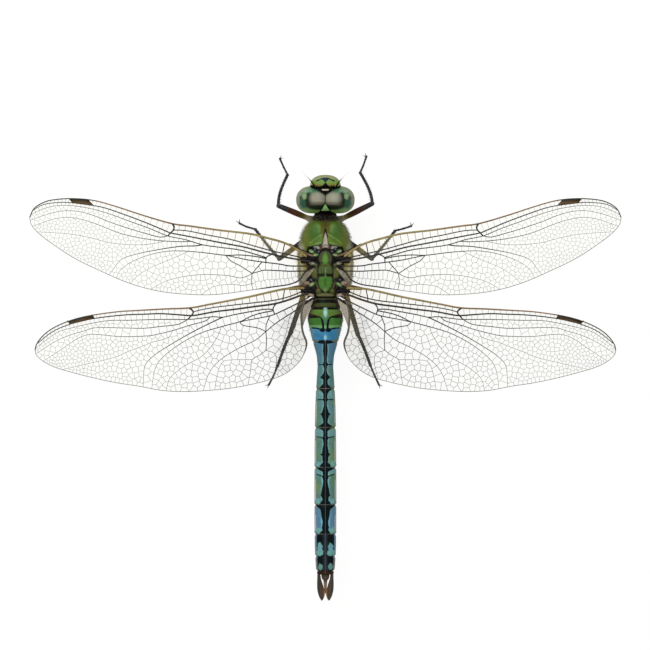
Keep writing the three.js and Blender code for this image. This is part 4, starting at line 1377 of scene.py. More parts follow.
HIND_EDGES = ([
    (3.9, -1.8), (4.6, -1.8), (7.3, -1.65), (10, -1.1), (13.7, -0.25), (17.3, 0.45), (21, 1.15),
    (24.6, 1.8), (29.2, 2), (33.7, 2.25), (37.7, 2.5), (42.4, 3.15), (45.5, 3.85), (48.2, 4.85),
    (50.1, 5.9), (51.5, 7.1), (52.45, 8.45), (52.7, 9.5)
], [
    (3.6, 0.4), (4.05, 1.3), (4.35, 2.6), (4.35, 4.2), (4.1, 6.2), (3.5, 7.8), (3.45, 8.7), (3.8, 9.9),
    (4.6, 11.4), (6.4, 13.15), (8.2, 14.2), (10.6, 15), (13.7, 15.75), (17.3, 16.4), (21.9, 16.85),
    (26.4, 17), (30, 16.75), (33.7, 16.05), (38.2, 15.35), (42.8, 14.35), (46.4, 13.4), (49.3, 12.5),
    (51.3, 11.45), (52.5, 10.3), (52.7, 9.5)
])
HIND_VEINS = {
    "subcosta": ([
        (3, -1.35), (4.4, -1.1), (6.4, -0.3), (9.2, 0.4), (12.8, 0.85), (16.4, 1.25), (20.1, 1.7),
        (22.8, 2.2), (24, 2.55)
    ], 0.12, 0.09, -0.2),
    "radius": ([
        (3, -0.9), (4.4, -0.5), (6.4, 0.25), (9.2, 1.05), (12.8, 1.55), (16.4, 2.05), (20.1, 2.5),
        (22.8, 3), (24.4, 3.2), (27.3, 3), (30.1, 2.85), (32.8, 2.95), (35.9, 3.05), (39.2, 3.35),
        (42.4, 3.8), (44.6, 4.3), (46.3, 4.75), (48.3, 5.5), (50.1, 6.5), (52.2, 8.2)
    ], 0.19, 0.07, 0.18),
    "nodus": ([(24.7, 1.85), (24.1, 2.3), (24, 2.7), (24.4, 3.25), (25, 3.9)], 0.17, 0.12, 0.1),
    "first_sector": ([
        (9.4, 2.1), (11, 2.05), (13.7, 2.5), (16.4, 3), (18.7, 3.5), (20.4, 3.4), (22.8, 3.7), (25, 3.9),
        (30.1, 3.9), (35.5, 4.05), (39.2, 4.1), (42.4, 4.6), (45.5, 5.3), (48.3, 6.1), (50.1, 7.2),
        (52.8, 9.3)
    ], 0.11, 0.035, -0.14),
    "second_sector": ([
        (25, 3.9), (26.8, 4.8), (30.1, 5.2), (33, 5.5), (36.4, 5.45), (41.5, 5.4), (43.7, 5.95),
        (46.4, 6.75), (49.2, 8), (52.6, 10.2)
    ], 0.08, 0.035, 0.04),
    "middle_sector": ([
        (20.9, 3.45), (21.9, 4.2), (24.6, 4.95), (27.3, 5.8), (30.1, 6.5), (32.4, 6.9), (37.3, 7),
        (42.4, 6.6), (45, 7.4), (47.7, 9.2), (51.4, 11.6)
    ], 0.08, 0.032, 0.12),
    "front_brace": ([
        (27.8, 6), (28.6, 7.25), (31.3, 8), (33.7, 8.95), (35.9, 9.75), (37.9, 10.65), (40.1, 11.25),
        (43, 11.9), (48.2, 13.1)
    ], 0.04, 0.03, -0.04),
    "fourth_sector": ([
        (18.7, 3.5), (21, 4.6), (23.7, 5.95), (26.4, 7.45), (29.2, 9.15), (31, 10.35), (32.6, 11.95),
        (33, 13.8), (33.1, 16.5)
    ], 0.11, 0.03, -0.14),
    "mid_vein": ([
        (9.4, 2.3), (11.9, 2.8), (13.7, 3.4), (15.5, 4.3), (18.3, 5.05), (21.9, 6.1), (24.6, 7.3),
        (27.3, 8.95), (29.8, 11.05), (31, 13.1), (31.6, 17)
    ], 0.11, 0.03, 0.12),
    "arculus": ([(8.9, 1), (9.4, 1.6), (9.5, 2.2), (9.2, 2.95)], 0.12, 0.1, 0),
    "cubitus": ([
        (3, -0.2), (4.6, 0.75), (6.4, 1.65), (9.2, 2.95), (11, 3.45), (13.7, 3.95), (15.5, 4.35)
    ], 0.13, 0.08, -0.14),
    "triangle_inner": ([(10.1, 3.25), (10.75, 4.9), (10.8, 6.1)], 0.09, 0.08, -0.05),
    "triangle_outer": ([(10.8, 6.1), (12.3, 5.45), (15, 4.95), (15.5, 4.3)], 0.08, 0.08, 0),
    "anal_vein": ([(3.3, 0.4), (5.2, 2.1), (7.3, 3.45), (9.2, 4.75), (10.8, 6.1)], 0.12, 0.08, 0.12),
    "hind_sector": ([
        (10.8, 6.1), (12.8, 7.7), (15.5, 9), (18.3, 10.65), (20.1, 12.2), (21.3, 14), (22.3, 17.1)
    ], 0.075, 0.035, -0.12),
    "anal_post": ([(10.8, 6.1), (10.7, 7.8), (10.8, 9.5)], 0.08, 0.07, 0.04),
    "anal_branch": ([
        (10.8, 9.5), (11.9, 10.35), (13.3, 11.25), (13.6, 13.1), (14.1, 16.1)
    ], 0.06, 0.035, 0.06),
    "anal_loop": ([(10.8, 9.5), (9.2, 10.15), (8.9, 11.8), (9.7, 15.1)], 0.05, 0.035, 0.05),
    "anal_rib": ([(5.2, 2.1), (6.4, 3.3), (7, 5.8), (7.9, 8.5), (9.15, 10.2)], 0.045, 0.04, 0.03),
    "rear_rib": ([(13.3, 11.2), (17, 11.25), (18.6, 11.6), (19.5, 13.4), (20.2, 17.1)], 0.04, 0.035, -0.05),
    "hind_brace": ([
        (18.9, 5.1), (19.4, 6.6), (20.8, 8.9), (22.6, 10.7), (24.6, 11.8), (26.4, 12.9), (28.3, 14.7),
        (29, 17.2)
    ], 0.045, 0.035, 0.05),
    "stout_cross_vein": ([(7.4, -1.8), (7.5, -1), (7.7, 0.05), (7.7, 0.7)], 0.1, 0.09, 0),
}
HIND_HINGE = [
    ([(7, -1.75), (5.6, -2), (4.6, -2.15), (3.6, -2.3)], [0.13, 0.19, 0.25, 0.22], 0.5),
    ([(6.4, -1.5), (5, -1.65), (4.2, -1.6)], [0.1, 0.14, 0.2], 0.08),
    ([(3.7, -2.75), (3.2, -2.6)], [0.26, 0.28], 0.75),
    ([(4.2, -1.15), (3.5, -1.2), (2.7, -1.25), (2.1, -1.2)], [0.36, 0.5, 0.46, 0.3], 0.02),
    ([(2.9, -0.6), (2.35, -0.45)], [0.3, 0.3], 0.8),
    ([(1.9, -0.1), (2.6, 0.2), (3.3, 0.75), (4, 1.3), (4.4, 1.9)], [0.16, 0.17, 0.15, 0.14, 0.15], 0.15),
    ([(2.3, -0.7), (3, -0.2), (3.8, 0.3)], [0.16, 0.15, 0.12], 0.15),
]
# The dark cell near the tip, a spot in each field with one row of cells, with a comb of cells or with
# none, how far the wing arches and how smoky it is, and the radii of its rear edge and its cross veins.
WINGS = {
    "fore": {
        "edges": FORE_EDGES, "veins": FORE_VEINS, "hinge": FORE_HINGE,
        "stigma": [(42.1, -16.75), (43, -17.75), (46.4, -17.95), (45.8, -17.2)],
        "one_row": [(5.5, -8.3), (15, -10.8), (8, -5.5)],
        "comb": [(9, -3.6)],
        "open": [(6, -6.5)],
        "camber": 0.25, "cloud": 0.06, "rear_edge": 0.12, "net": 0.026,
    },
    "hind": {
        "edges": HIND_EDGES, "veins": HIND_VEINS, "hinge": HIND_HINGE,
        "stigma": [(41.9, 3.75), (42.4, 3), (46.9, 4.1), (46.3, 4.75)],
        "one_row": [(5.5, -1.2), (15, 0.6), (7, 2.6)],
        "comb": [],
        "open": [(6, 1)],
        "camber": 0.35, "cloud": 0.55, "rear_edge": 0.19, "net": 0.031,
    },
}
LINE_STEP = 0.4
CROSSING = 0.2  # how far a vein runs on past the one that it joins, so that the two surely cross


def on_past(line):
    start = line[0] + (line[0] - line[1]).normalized() * CROSSING
    end = line[-1] + (line[-1] - line[-2]).normalized() * CROSSING
    return [start, *line, end]


def fields_between(edge, lines):
    """The closed fields that the lines part a wing into, without the spurs of lines that end in one."""
    points = list(edge)
    edges = [(i, (i + 1) % len(edge)) for i in range(len(edge))]
    for line in lines:
        edges += [(len(points) + i, len(points) + i + 1) for i in range(len(line) - 1)]
        points += line
    spots, _, faces, *_ = delaunay_2d_cdt(points, edges, [], 3, 1e-4)
    for loop in faces:
        loop = list(loop)
        spur = 0
        while spur is not None and len(loop) > 2:
            size = len(loop)
            spur = next((i for i in range(size) if loop[i - 1] == loop[(i + 1) % size]), None)
            if spur is not None:
                for k in sorted((spur, (spur + 1) % size), reverse=True):
                    loop.pop(k)
        if len(loop) > 2:
            yield [tuple(spots[i]) for i in loop]


def pairs_round(loop):
    """The two ends of each side of a loop."""
    return zip(loop, loop[1:] + loop[:1])


def area_and_middle(loop):
    """A loop's area, negative when it runs clockwise, and its centre of area."""
    area = across = along = 0.0
    for (x0, y0, *_), (x1, y1, *_) in pairs_round(loop):
        cross = x0 * y1 - x1 * y0
        area += cross / 2
        across += (x0 + x1) * cross / 6
        along += (y0 + y1) * cross / 6
    if abs(area) < 1e-7:
        return 0, tuple(loop[0][:2])
    return area, (across / area, along / area)


def holds(loop, x, y):
    """Whether a place lies inside a loop."""
    within = False
    for (x0, y0, *_), (x1, y1, *_) in pairs_round(loop):
        if (y0 > y) != (y1 > y) and x < x0 + (y - y0) / (y1 - y0) * (x1 - x0):
            within = not within
    return within


def trimmed(loop, x, y, nx, ny, beyond):
    """What is left of a loop on the near side of the line through x, y across nx, ny. Each of its points
    also says which cell lies beyond the side that starts there."""
    left = []
    for (x0, y0, mark), (x1, y1, _) in pairs_round(loop):
        here = (x0 - x) * nx + (y0 - y) * ny
        there = (x1 - x) * nx + (y1 - y) * ny
        if here <= 0:
            left.append((x0, y0, mark))
        if (here <= 0) != (there <= 0):
            share = here / (here - there)
            left.append((blend(x0, x1, share), blend(y0, y1, share), beyond if here <= 0 else mark))
    return left


def tree_of(places):
    """A search tree of places on the flat wing."""
    tree = kdtree.KDTree(len(places))
    for i, (x, y) in enumerate(places):
        tree.insert((x, y, 0), i)
    tree.balance()
    return tree


NEIGHBOURS = 18  # as many as can cut a cell


def cells_round(seeds, field):
    """The part of a field nearest to each seed."""
    tree = tree_of(seeds)
    cells = []
    for x, y in seeds:
        cell = [(px, py, -1) for px, py in field]
        for (ox, oy, _), other, _ in tree.find_n((x, y, 0), NEIGHBOURS)[1:]:
            if len(cell) > 2:
                cell = trimmed(cell, (x + ox) / 2, (y + oy) / 2, ox - x, oy - y, other)
        cells.append(cell)
    return cells


def widest_span(field, x):
    """The two ends of a field's widest span at x, or nothing where the field doesn't reach."""
    cuts = []
    for (x0, y0), (x1, y1) in pairs_round(field):
        if (x0 > x) != (x1 > x):
            cuts.append(blend(y0, y1, (x - x0) / (x1 - x0)))
    cuts.sort()
    return max(zip(cuts[::2], cuts[1::2]), key=lambda ends: ends[1] - ends[0], default=None)


def comb_seeds(field, dice):
    """Two rows of seeds: tall cells along a field's front vein and small ones behind them."""
    seeds = []
    x = min(x for x, _ in field) + 0.3
    while x < max(x for x, _ in field):
        ends = widest_span(field, x)
        if ends is not None:
            seeds.append((x, blend(*ends, 0.3)))
            seeds.append((x + dice.uniform(0.2, 0.5), blend(*ends, dice.uniform(0.78, 0.86))))
        x += dice.uniform(0.6, 1)
    return seeds


def breadth(field):
    """About how wide a long field is: twice its area over its outline."""
    return 2 * abs(area_and_middle(field)[0]) / sum(math.dist(a, b) for a, b in pairs_round(field))


LADDER_STEP = 1.2  # between cross veins where a field is one cell wide
CROWDING = 0.74  # of a cell's size, the least distance between two seeds
TRIES_PER_AREA = 400
PATIENCE = 60  # tries without a seed before a field counts as full
EVENINGS = 4  # times that the seeds move to the middles of their cells


def seeds_in(field, wing, dice, one_row):
    """Where a field's cells grow: in rows in a long narrow field, and spread out evenly in a wide one."""
    area, middle = area_and_middle(field)
    xs, ys = zip(*field)
    low, high = min(xs), max(xs)
    size = wing.cell_size(*middle)
    seeds = []
    if one_row or breadth(field) < size * 1.3 and high - low > max(ys) - min(ys):
        x = low + size * 0.4
        while x < high:
            ends = widest_span(field, x)
            step = LADDER_STEP * min(1.1, size)
            if ends is not None:
                step = LADDER_STEP * min(1.1, wing.cell_size(x, sum(ends) / 2))
                rows = 1 if one_row else max(1, round((ends[1] - ends[0]) / (step * 1.15)))
                for row in range(rows):
                    seeds.append((x + dice.uniform(-0.1, 0.1) * step, blend(*ends, (row + 0.5) / rows)))
            x += step
        seeds = seeds or [middle]
    else:
        tries = 0
        while tries < abs(area) * TRIES_PER_AREA and (tries < PATIENCE or not seeds):
            tries += 1
            x, y = dice.uniform(low, high), dice.uniform(min(ys), max(ys))
            room = CROWDING * wing.cell_size(x, y)
            if holds(field, x, y) and all(math.dist((x, y), seed) > room for seed in seeds):
                seeds.append((x, y))
                tries = 0
    for _ in range(EVENINGS):
        cells = cells_round(seeds, field)
        seeds = [area_and_middle(cell)[1] if len(cell) > 2 else seed for cell, seed in zip(cells, seeds)]
    return seeds


HALF_PLATE = 0.25  # half the thickness of the CAD plate that stands for a wing
FRONT_FOLD = 0.06
FOLD_REACH = 0.02
WING_START, WING_LENGTH = 2.3, 51


class Wing:
    """One left wing, laid out flat and folded: its height at any place, and its veins and cells."""

    def __init__(self, kind, plan):
        self.front, self.back = (smooth_line(points, LINE_STEP) for points in plan["edges"])
        self.camber = plan["camber"]
        self.cloud = plan["cloud"]
        self.veins = [(smooth_line(points, LINE_STEP), *rest) for points, *rest in plan["veins"].values()]
        self.edge = self.front + self.back[::-1][1:]
        low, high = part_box(f"wing_{kind}_left")
        self.levels = (low.z / MM + HALF_PLATE, high.z / MM - HALF_PLATE)
        self.folds = []
        for line, *_, fold in [(self.front, FRONT_FOLD), (self.back, 0), *self.veins]:
            self.folds.append((tree_of(line), fold))

    def from_edge(self, x, y, edge=0):
        """How far a place lies from the wing's front edge, or from its back edge for edge 1."""
        return self.folds[edge][0].find((x, y, 0))[2]

    def height(self, x, y):
        """The plate's slant, an arch across it, and the folds of the nearest veins."""
        total = weights = 0.0
        distances = [tree.find((x, y, 0))[2] for tree, _ in self.folds]
        for distance, (_, fold) in zip(distances, self.folds):
            weight = 1 / (distance**2 + FOLD_REACH)
            total += fold * weight
            weights += weight
        across = distances[0] / (distances[0] + distances[1] + 1e-6)
        outward = (x - WING_START) / WING_LENGTH
        arch = self.camber * math.sin(math.pi * across) * math.sin(math.pi * min(1, max(0, outward)))
        return blend(*self.levels, outward) + arch + total / weights * (1 - 0.5 * outward)

    def trimmed(self, line):
        """A vein's line as far as the wing's edge, which it may cross only at its outer end."""
        inside = [holds(self.edge, p.x, p.y) for p in line]
        last = max((i for i, within in enumerate(inside) if within), default=len(line) - 1)
        if last + 1 == len(line):
            return line
        low, high = line[last], line[last + 1]
        for _ in range(12):
            middle = (low + high) / 2
            low, high = (middle, high) if holds(self.edge, middle.x, middle.y) else (low, middle)
        return line[: last + 1] + [low]

    def lift(self, x, y, more=0.0):
        return Vector((x, y, self.height(x, y) + more))

    def lifted(self, line):
        return [self.lift(p.x, p.y) for p in line]

    def cell_size(self, x, y):
        """How wide the cells are at a place: widest near the root, finer outwards and along the back."""
        size = blend(1.36, 0.98, ease(x, 14, 32)) - 0.36 * ease(x, 33, 47)
        return size * blend(0.72, 0.92, ease(self.from_edge(x, y, 1), 0.3, 3))


def rounded(line, radii):
    """The line and radii of a rod with both of its ends rounded off."""
    line = [Vector(p) for p in line]
    shares = (1, 0.92, 0.72, 0.38)
    slims = [math.sqrt(max(0.0004, 1 - s * s)) for s in shares]
    before = [line[0] + (line[0] - line[1]).normalized() * radii[0] * s for s in shares]
    after = [line[-1] + (line[-1] - line[-2]).normalized() * radii[-1] * s for s in reversed(shares)]
    sizes = [radii[0] * s for s in slims] + list(radii) + [radii[-1] * s for s in reversed(slims)]
    return before + line + after, sizes


def slimness(radii):
    return [1 - ease(radius, 0.04, 0.08) for radius in radii]


def in_any(field, spots):
    return any(holds(field, *spot) for spot in spots)


TINY_FIELD, TINY_CELL = 0.02, 0.005  # in square millimetres: smaller ones are left out
NARROW = 0.7  # the cross veins of a field no wider than this are stout and dark
HINGE_DROP = 0.1  # of the hinge parts below the middle of the plate


def build_wing(kind, plan):
    """The pieces of one left wing, by name."""
    dice = random.Random(kind)
    wing = Wing(kind, plan)
    parts = {word: Piece() for word in ("veins", "cross_veins", "costa", "film", "pterostigma", "hinge")}
    veins = parts["veins"]
    for line, thick, thin, _ in wing.veins:
        line = wing.trimmed(line)
        radii = spread((thick, thin), len(line))
        veins.rod(wing.lifted(line), radii, 6, paleness=slimness(radii))
    # The rear edge is stout beside the body.
    radii = [blend(plan["rear_edge"], 0.05, ease((p - wing.back[0]).length, 7.5, 10.5)) for p in wing.back]
    veins.rod(wing.lifted(wing.back), radii, 8, paleness=slimness(radii) if kind == "fore" else 1.0)
    parts["costa"].rod(wing.lifted(wing.front), [blend(0.2, 0.1, ease(p.x, 3, 50)) for p in wing.front], 8)
    corners = [Vector(p) for p in plan["stigma"]]
    ends = [corners[:2], corners[2:]]
    for end in ends:
        veins.rod(wing.lifted(end), (0.08, 0.08), 5)
    lines = [on_past(line) for line in [vein[0] for vein in wing.veins] + ends]
    for field in fields_between(wing.edge, lines):
        area, middle = area_and_middle(field)
        if abs(area) < TINY_FIELD or not holds(wing.edge, *middle) and abs(area) < 1:
            continue
        if holds(field, *(sum(corners, Vector((0, 0))) / 4)):
            add_stigma(parts["pterostigma"], wing, field)
        elif in_any(field, plan["open"]):
            add_cell(parts["film"], wing, field)
        else:
            add_cells(parts, wing, field, plan, dice)
    for points, radii, pale in plan["hinge"]:
        line = smooth_line([(px, py, 0) for px, py in points], 0.15)
        line = [wing.lift(p.x, p.y, -HINGE_DROP) for p in line]
        line, sizes = rounded(line, spread(radii, len(line)))
        parts["hinge"].rod(line, sizes, 14, 0.75, pale=pale)
    return parts


def add_cells(parts, wing, field, plan, dice):
    """The cells of one field: a film in each, and a cross vein wherever two of them meet."""
    one_row = in_any(field, plan["one_row"])
    narrow = one_row or breadth(field) < NARROW
    seeds = comb_seeds(field, dice) if in_any(field, plan["comb"]) else seeds_in(field, wing, dice, one_row)
    for i, cell in enumerate(cells_round(seeds, field)):
        if len(cell) < 3 or abs(area_and_middle(cell)[0]) < TINY_CELL:
            continue
        add_cell(parts["film"], wing, [(x, y) for x, y, _ in cell])
        for (x0, y0, beyond), (x1, y1, _) in pairs_round(cell):
            if beyond > i and holds(field, (x0 + x1) / 2, (y0 + y1) / 2):
                thick = plan["net"] * (1.33 if narrow else 1) * blend(1.15, 0.75, ease(x0, 8, 44))
                pale = 0.0 if narrow else max(ease(wing.from_edge(x0, y0), 1.5, 4.5), ease(x0, 38, 46))
                ends = [wing.lift(x0, y0), wing.lift(x1, y1)]
                parts["cross_veins"].rod(ends, (thick, thick), 4, closed=False, paleness=pale)


DOME_SHARE = 0.55  # where the film's dome levels off, as a share of the way out from its middle
DOME_RISES = (0.03, 0.04)  # its height there and in the middle


def add_cell(film, wing, ring):
    """The film of one cell, drawn tight between its veins and a little domed. It is amber in front of the
    radius, most of all near the root."""
    area, (mx, my) = area_and_middle(ring)
    ring = ring if area > 0 else ring[::-1]
    count = len(ring)
    points = [wing.lift(x, y) for x, y in ring]
    for x, y in ring:
        points.append(wing.lift(blend(mx, x, DOME_SHARE), blend(my, y, DOME_SHARE), DOME_RISES[0]))
    points.append(wing.lift(mx, my, DOME_RISES[1]))
    faces = []
    for k in range(count):
        after = (k + 1) % count
        faces.append((k, after, count + after, count + k))
        faces.append((count + k, count + after, 2 * count))
    amber, cloud = [], []
    for x, y, _ in points:
        to_front = wing.from_edge(x, y)
        gold = (1 - ease(x, 4.4, 8.5)) * (1 - ease(to_front, 1.8, 3.4)) + 0.3 * (1 - ease(x, 4, 8))
        amber.append((1 - ease(to_front, 1.2, 3.2)) * blend(0.9, 0.25, ease(x, 8, 36)) + gold)
        smoke = 0.68 * (1 - ease(x, 4.5, 12)) * ease(to_front, 1.5, 5)
        cloud.append(min(1, wing.cloud * (1 - 0.5 * ease(x, 8, 40)) + smoke))
    film.add(points, faces, amber=amber, cloud=cloud)


# The cushion's steps from its edge inwards: how far out each lies, and how high.
STIGMA_STEPS = [(1, 0), (0.92, 0.09), (0.6, 0.12)]


def add_stigma(stigma, wing, ring):
    """The thick opaque cell near a wing's tip: a flat cushion, the same above and below."""
    area, (mx, my) = area_and_middle(ring)
    ring = ring if area > 0 else ring[::-1]
    count = len(ring)
    rearness = [min(1, wing.from_edge(x, y)) for x, y in ring] * len(STIGMA_STEPS) + [0.5]
    for side in (1, -1):
        points = []
        for share, rise in STIGMA_STEPS:
            points += [wing.lift(blend(mx, x, share), blend(my, y, share), side * rise) for x, y in ring]
        points.append(wing.lift(mx, my, side * STIGMA_STEPS[-1][1]))
        faces = tube_faces(len(STIGMA_STEPS), count, False)
        faces += [(2 * count + k, 2 * count + (k + 1) % count, 3 * count) for k in range(count)]
        stigma.add(points, faces if side > 0 else [face[::-1] for face in faces], rearness=rearness)


# Clear film, faintly grey in the broad rear fields and amber in the front ones towards the root.
film_finish, shader, place, *_ = new_finish("film_finish", IOR=1.5)
ripples = grain(place, 0.4)
amber = mark(place, "amber")
cloud = mark(place, "cloud") * (grain(place, 2.5) + 0.5)
thickest = cloud * cloud * cloud * cloud
tint = amber.mix(cloud.mix("f2f1c8", "40403d"), "f0e2a8")
feed(
    shader,
    Base_Color=(amber - 1).mix(tint, "c4aa50"),
    Alpha=0.075 + ripples * 0.02 + amber * 0.075 - cloud * 0.055 + thickest * 0.16,
    Roughness=0.08 + ripples * 0.2,
    Normal=bump(ripples, 0.03),
)

# Veins of near-black cuticle, browner at the root and paler where they are finest.
vein_finish, shader, place, x, *_ = new_finish("vein_finish", Specular_IOR_Level=0.4)
patches = grain(place, 0.8)
dark = (abs(x).step(16, 3) * 0.7 + patches * 0.3).mix("131211", "2c2015")
colour = mark(place, "paleness").mix(dark, patches.mix("46433a", "655f4c"))
feed(shader, Base_Color=colour, Roughness=0.35 + patches * 0.3, Normal=bump(grain(place, 0.1), 0.02))

# The costa, the stout front edge: yellow-brown with dark dashes near the root, and black beyond the
# dark cell.
costa_finish, shader, place, x, *_ = new_finish("costa_finish", Specular_IOR_Level=0.5)
patches = grain(place, 1.2)
dashes = grain(place, 0.22).step(0.58, 0.68) * abs(x).step(16, 10) * 0.6
colour = layered(
    patches.mix("6b5a2a", "b2a05c"),
    (dashes, "3a2b12"),
    (abs(x).step(14, 30), patches.mix("60421e", "9c7440")),
    (abs(x).step(40, 43.5), "26221c"),
)
feed(shader, Base_Color=colour, Roughness=0.35 + patches * 0.2, Normal=bump(grain(place, 0.15), 0.03))

# The dark cell: black along the front edge and brown behind.
stigma_finish, shader, place, x, *_ = new_finish("stigma_finish", Specular_IOR_Level=0.2)
patches = grain(place, 0.6)
streaks = mark(place, "rearness").step(0.15, 0.85) * (patches + 0.6)
colour = streaks.mix("241a0a", abs(x).step(44.5, 46.5).mix("5c4020", "665a24"))
feed(shader, Base_Color=colour, Roughness=0.35 + patches * 0.2, Normal=bump(patches, 0.05))

# The hinge plates at the root: black, brown and tan knobs of hard cuticle.
hinge_finish, shader, place, *_ = new_finish("hinge_finish", Coat_Weight=0.05)
lumps = grain(place, 0.5)
tint = mark(place, "pale") + (lumps - 0.5) * 0.5
colour = tint.ramp([(0, "0a080b"), (0.15, "17110f"), (0.4, "45321f"), (0.65, "7d6650"), (1, "ada08e")])
feed(shader, Base_Color=colour, Roughness=0.4 + lumps * 0.3, Normal=bump(lumps, 0.1))

WING_FINISHES = {
    "veins": vein_finish, "cross_veins": vein_finish, "costa": costa_finish,
    "film": film_finish, "pterostigma": stigma_finish, "hinge": hinge_finish,
}
for kind, plan in WINGS.items():
    parts = build_wing(kind, plan)
    for side in ("left", "right"):
        node = f"wing_{kind}_{side}"
        for word, piece in parts.items():
            shown = piece if side == "left" else piece.mirrored()
            stands_for = (node,) if word == "film" else ()
            shown.made(f"{node}_{word}", WING_FINISHES[word], "wing_membrane", stands_for)

# The membranule, a small pale sail between the hind wing's rear edge and the flank of the abdomen.
SAIL_END = 5.8
SAIL_INNER = [(0.4, 2.1), (3.2, 3.15)]  # its inner edge, which meets the wing's at the end
SAIL_THICKNESS = 0.06
SAIL_SAG = 0.6  # of its inner edge below the wing
SAIL_COLUMNS = 7

membranule_finish, shader, place, *_ = new_finish("membranule_finish")
creases = grain(place, 0.5)
colour = creases.mix("8a7f70", "bdb5a6")
feed(shader, Base_Color=colour, Roughness=creases * 0.2 + 0.5, Normal=bump(creases, 0.05))
wing = Wing("hind", WINGS["hind"])
rows = []
for p in wing.back:
    if p.y >= SAIL_END:
        continue
    inner_x = float(table_at([*SAIL_INNER, (SAIL_END, p.x - 0.05)], p.y))
    row = []
    for u in spread((0, 1), SAIL_COLUMNS):
        x = blend(inner_x, p.x, u)
        drop = SAIL_SAG * (1 - ease((x - inner_x) / max(0.05, p.x - inner_x), 0, 1))
        row.append((x, p.y - 0.35 * (1 - u), wing.height(p.x, p.y) - drop))
    rows.append(row + [(x, y, z - SAIL_THICKNESS) for x, y, z in reversed(row)])
sail = Piece()
sail.add_grid(np.array(rows))
sail.made_both("wing_hind_{}_membranule", membranule_finish, "wing_membrane")

# ---- Legs ----
# Six slim legs of coxa, femur, tibia and three-jointed foot, each ending in two forked claws. They are
# black with a grey bloom, and set with rows of stiff spines that make a basket in flight. The front
# thighs are brown and olive towards the body.
# Each leg's root, hip, knee and ankle, and where its instep, toe and claws lie on the table.
LEGS = {
    "fore_left": [
        (1.5, -14, 4.7), (3.5, -14.8, 4.9), (8.55, -16.9, 6.1), (6.95, -22.7, 1.2),
        (7.75, -24.3), (8.38, -25.7), (7.8, -26.15),
    ],
    "fore_right": [
        (-1.5, -14, 4.7), (-3.6, -14.8, 4.9), (-8.55, -17.3, 6.1), (-6.4, -23.1, 1.2),
        (-7, -24.5), (-7.55, -26.1), (-6.95, -26.6),
    ],
    "mid_left": [
        (1.3, -11.9, 3.7), (3.1, -11.3, 3.5), (8.45, -7.2, 6.3), (12.9, -12.7, 1.2),
        (14.6, -13.2), (15.8, -13.8), (16.2, -14.6),
    ],
    "mid_right": [
        (-1.3, -11.9, 3.7), (-3.1, -11.3, 3.5), (-8.5, -7.2, 6.3), (-12.8, -12.4, 1.2),
        (-14.6, -12.9), (-15.8, -13.3), (-16, -14.1),
    ],
    "hind_left": [
        (1.5, -7.2, 3.7), (2.7, -4.6, 3.7), (6.45, 6.55, 7.2), (8.8, 12.5, 1.4),
        (9.7, 14.6), (10.4, 15.9), (11, 16.4),
    ],
    "hind_right": [
        (-1.5, -7.2, 3.7), (-2.7, -4.6, 3.7), (-5.95, 6.7, 7.2), (-8.3, 12.4, 1.4),
        (-9.2, 14.5), (-9.85, 15.9), (-10.4, 16.5),
    ],
}
# For each pair: how brown the thigh is, its radii and how far it bows backwards, and the shin's radii
# and how far it bows outwards.
PAIRS = {
    "fore": (1, [0.46, 0.54, 0.56, 0.53, 0.49, 0.44], 0, [0.3, 0.28, 0.26, 0.25, 0.26], 0.42),
    "mid": (0.2, [0.4, 0.47, 0.49, 0.48, 0.46, 0.42], 0.1, [0.3, 0.28, 0.26, 0.25, 0.26], 0.12),
    "hind": (0, [0.4, 0.47, 0.49, 0.48, 0.46, 0.42], 0.1, [0.33, 0.3, 0.28, 0.26, 0.27], 0.12),
}
FOOT_RADII = [0.16, 0.17, 0.2]
CLEARANCE = 0.01  # between the table and the lowest points
CLAW_RADII = [0.11, 0.025]
FORK_RADII = [0.045, 0.015]
SPINE_RADIUS = 0.045
SPINE_ALONG, SPINE_OUT = 0.93, 0.42  # how far a spine leans along its joint and stands out from it
UP = Vector((0, 0, 1))

leg_finish, shader, place, *_ = new_finish("leg_finish", Coat_Weight=0.05)
bloom = grain(place, 0.35)
thigh = mark(place, "thigh")
black = bloom.step(0.3, 0.7).mix("181818", "49484b")
brown = thigh.ramp([
    (0, "1d1c1a"), (0.12, "2e2b2a"), (0.29, "433a37"), (0.38, "4a2c20"), (0.72, "603a28"),
    (0.78, "62521a"), (0.88, "837440"), (0.94, "b0a47c"), (1, "c2b792"),
])
colour = thigh.step(0.02, 0.3).mix(black, (bloom * 0.5).mix(brown, "241812"))
feed(shader, Base_Color=colour, Roughness=0.38 + bloom * 0.3, Normal=bump(bloom + grain(place, 0.1), 0.04))


def bowed(start, end, bow, share):
    """A place along a joint of a leg, straight or bowed by up to bow."""
    return start.lerp(end, share) + bow * math.sin(math.pi * share**0.8)


def limb(piece, start, end, radii, step=0.12, thigh=(0.0, 0.0), sides=16, bow=Vector()):
    """A joint of a leg with rounded ends, the radii spread along it."""
    count = max(6, round((end - start).length / step))
    line = [bowed(start, end, bow, i / count) for i in range(count + 1)]
    line, sizes = rounded(line, spread(radii, count + 1))
    shown = [blend(*thigh, min(1, max(0, (i - 4) / count))) for i in range(len(line))]
    piece.rod(line, sizes, sides, thigh=shown)


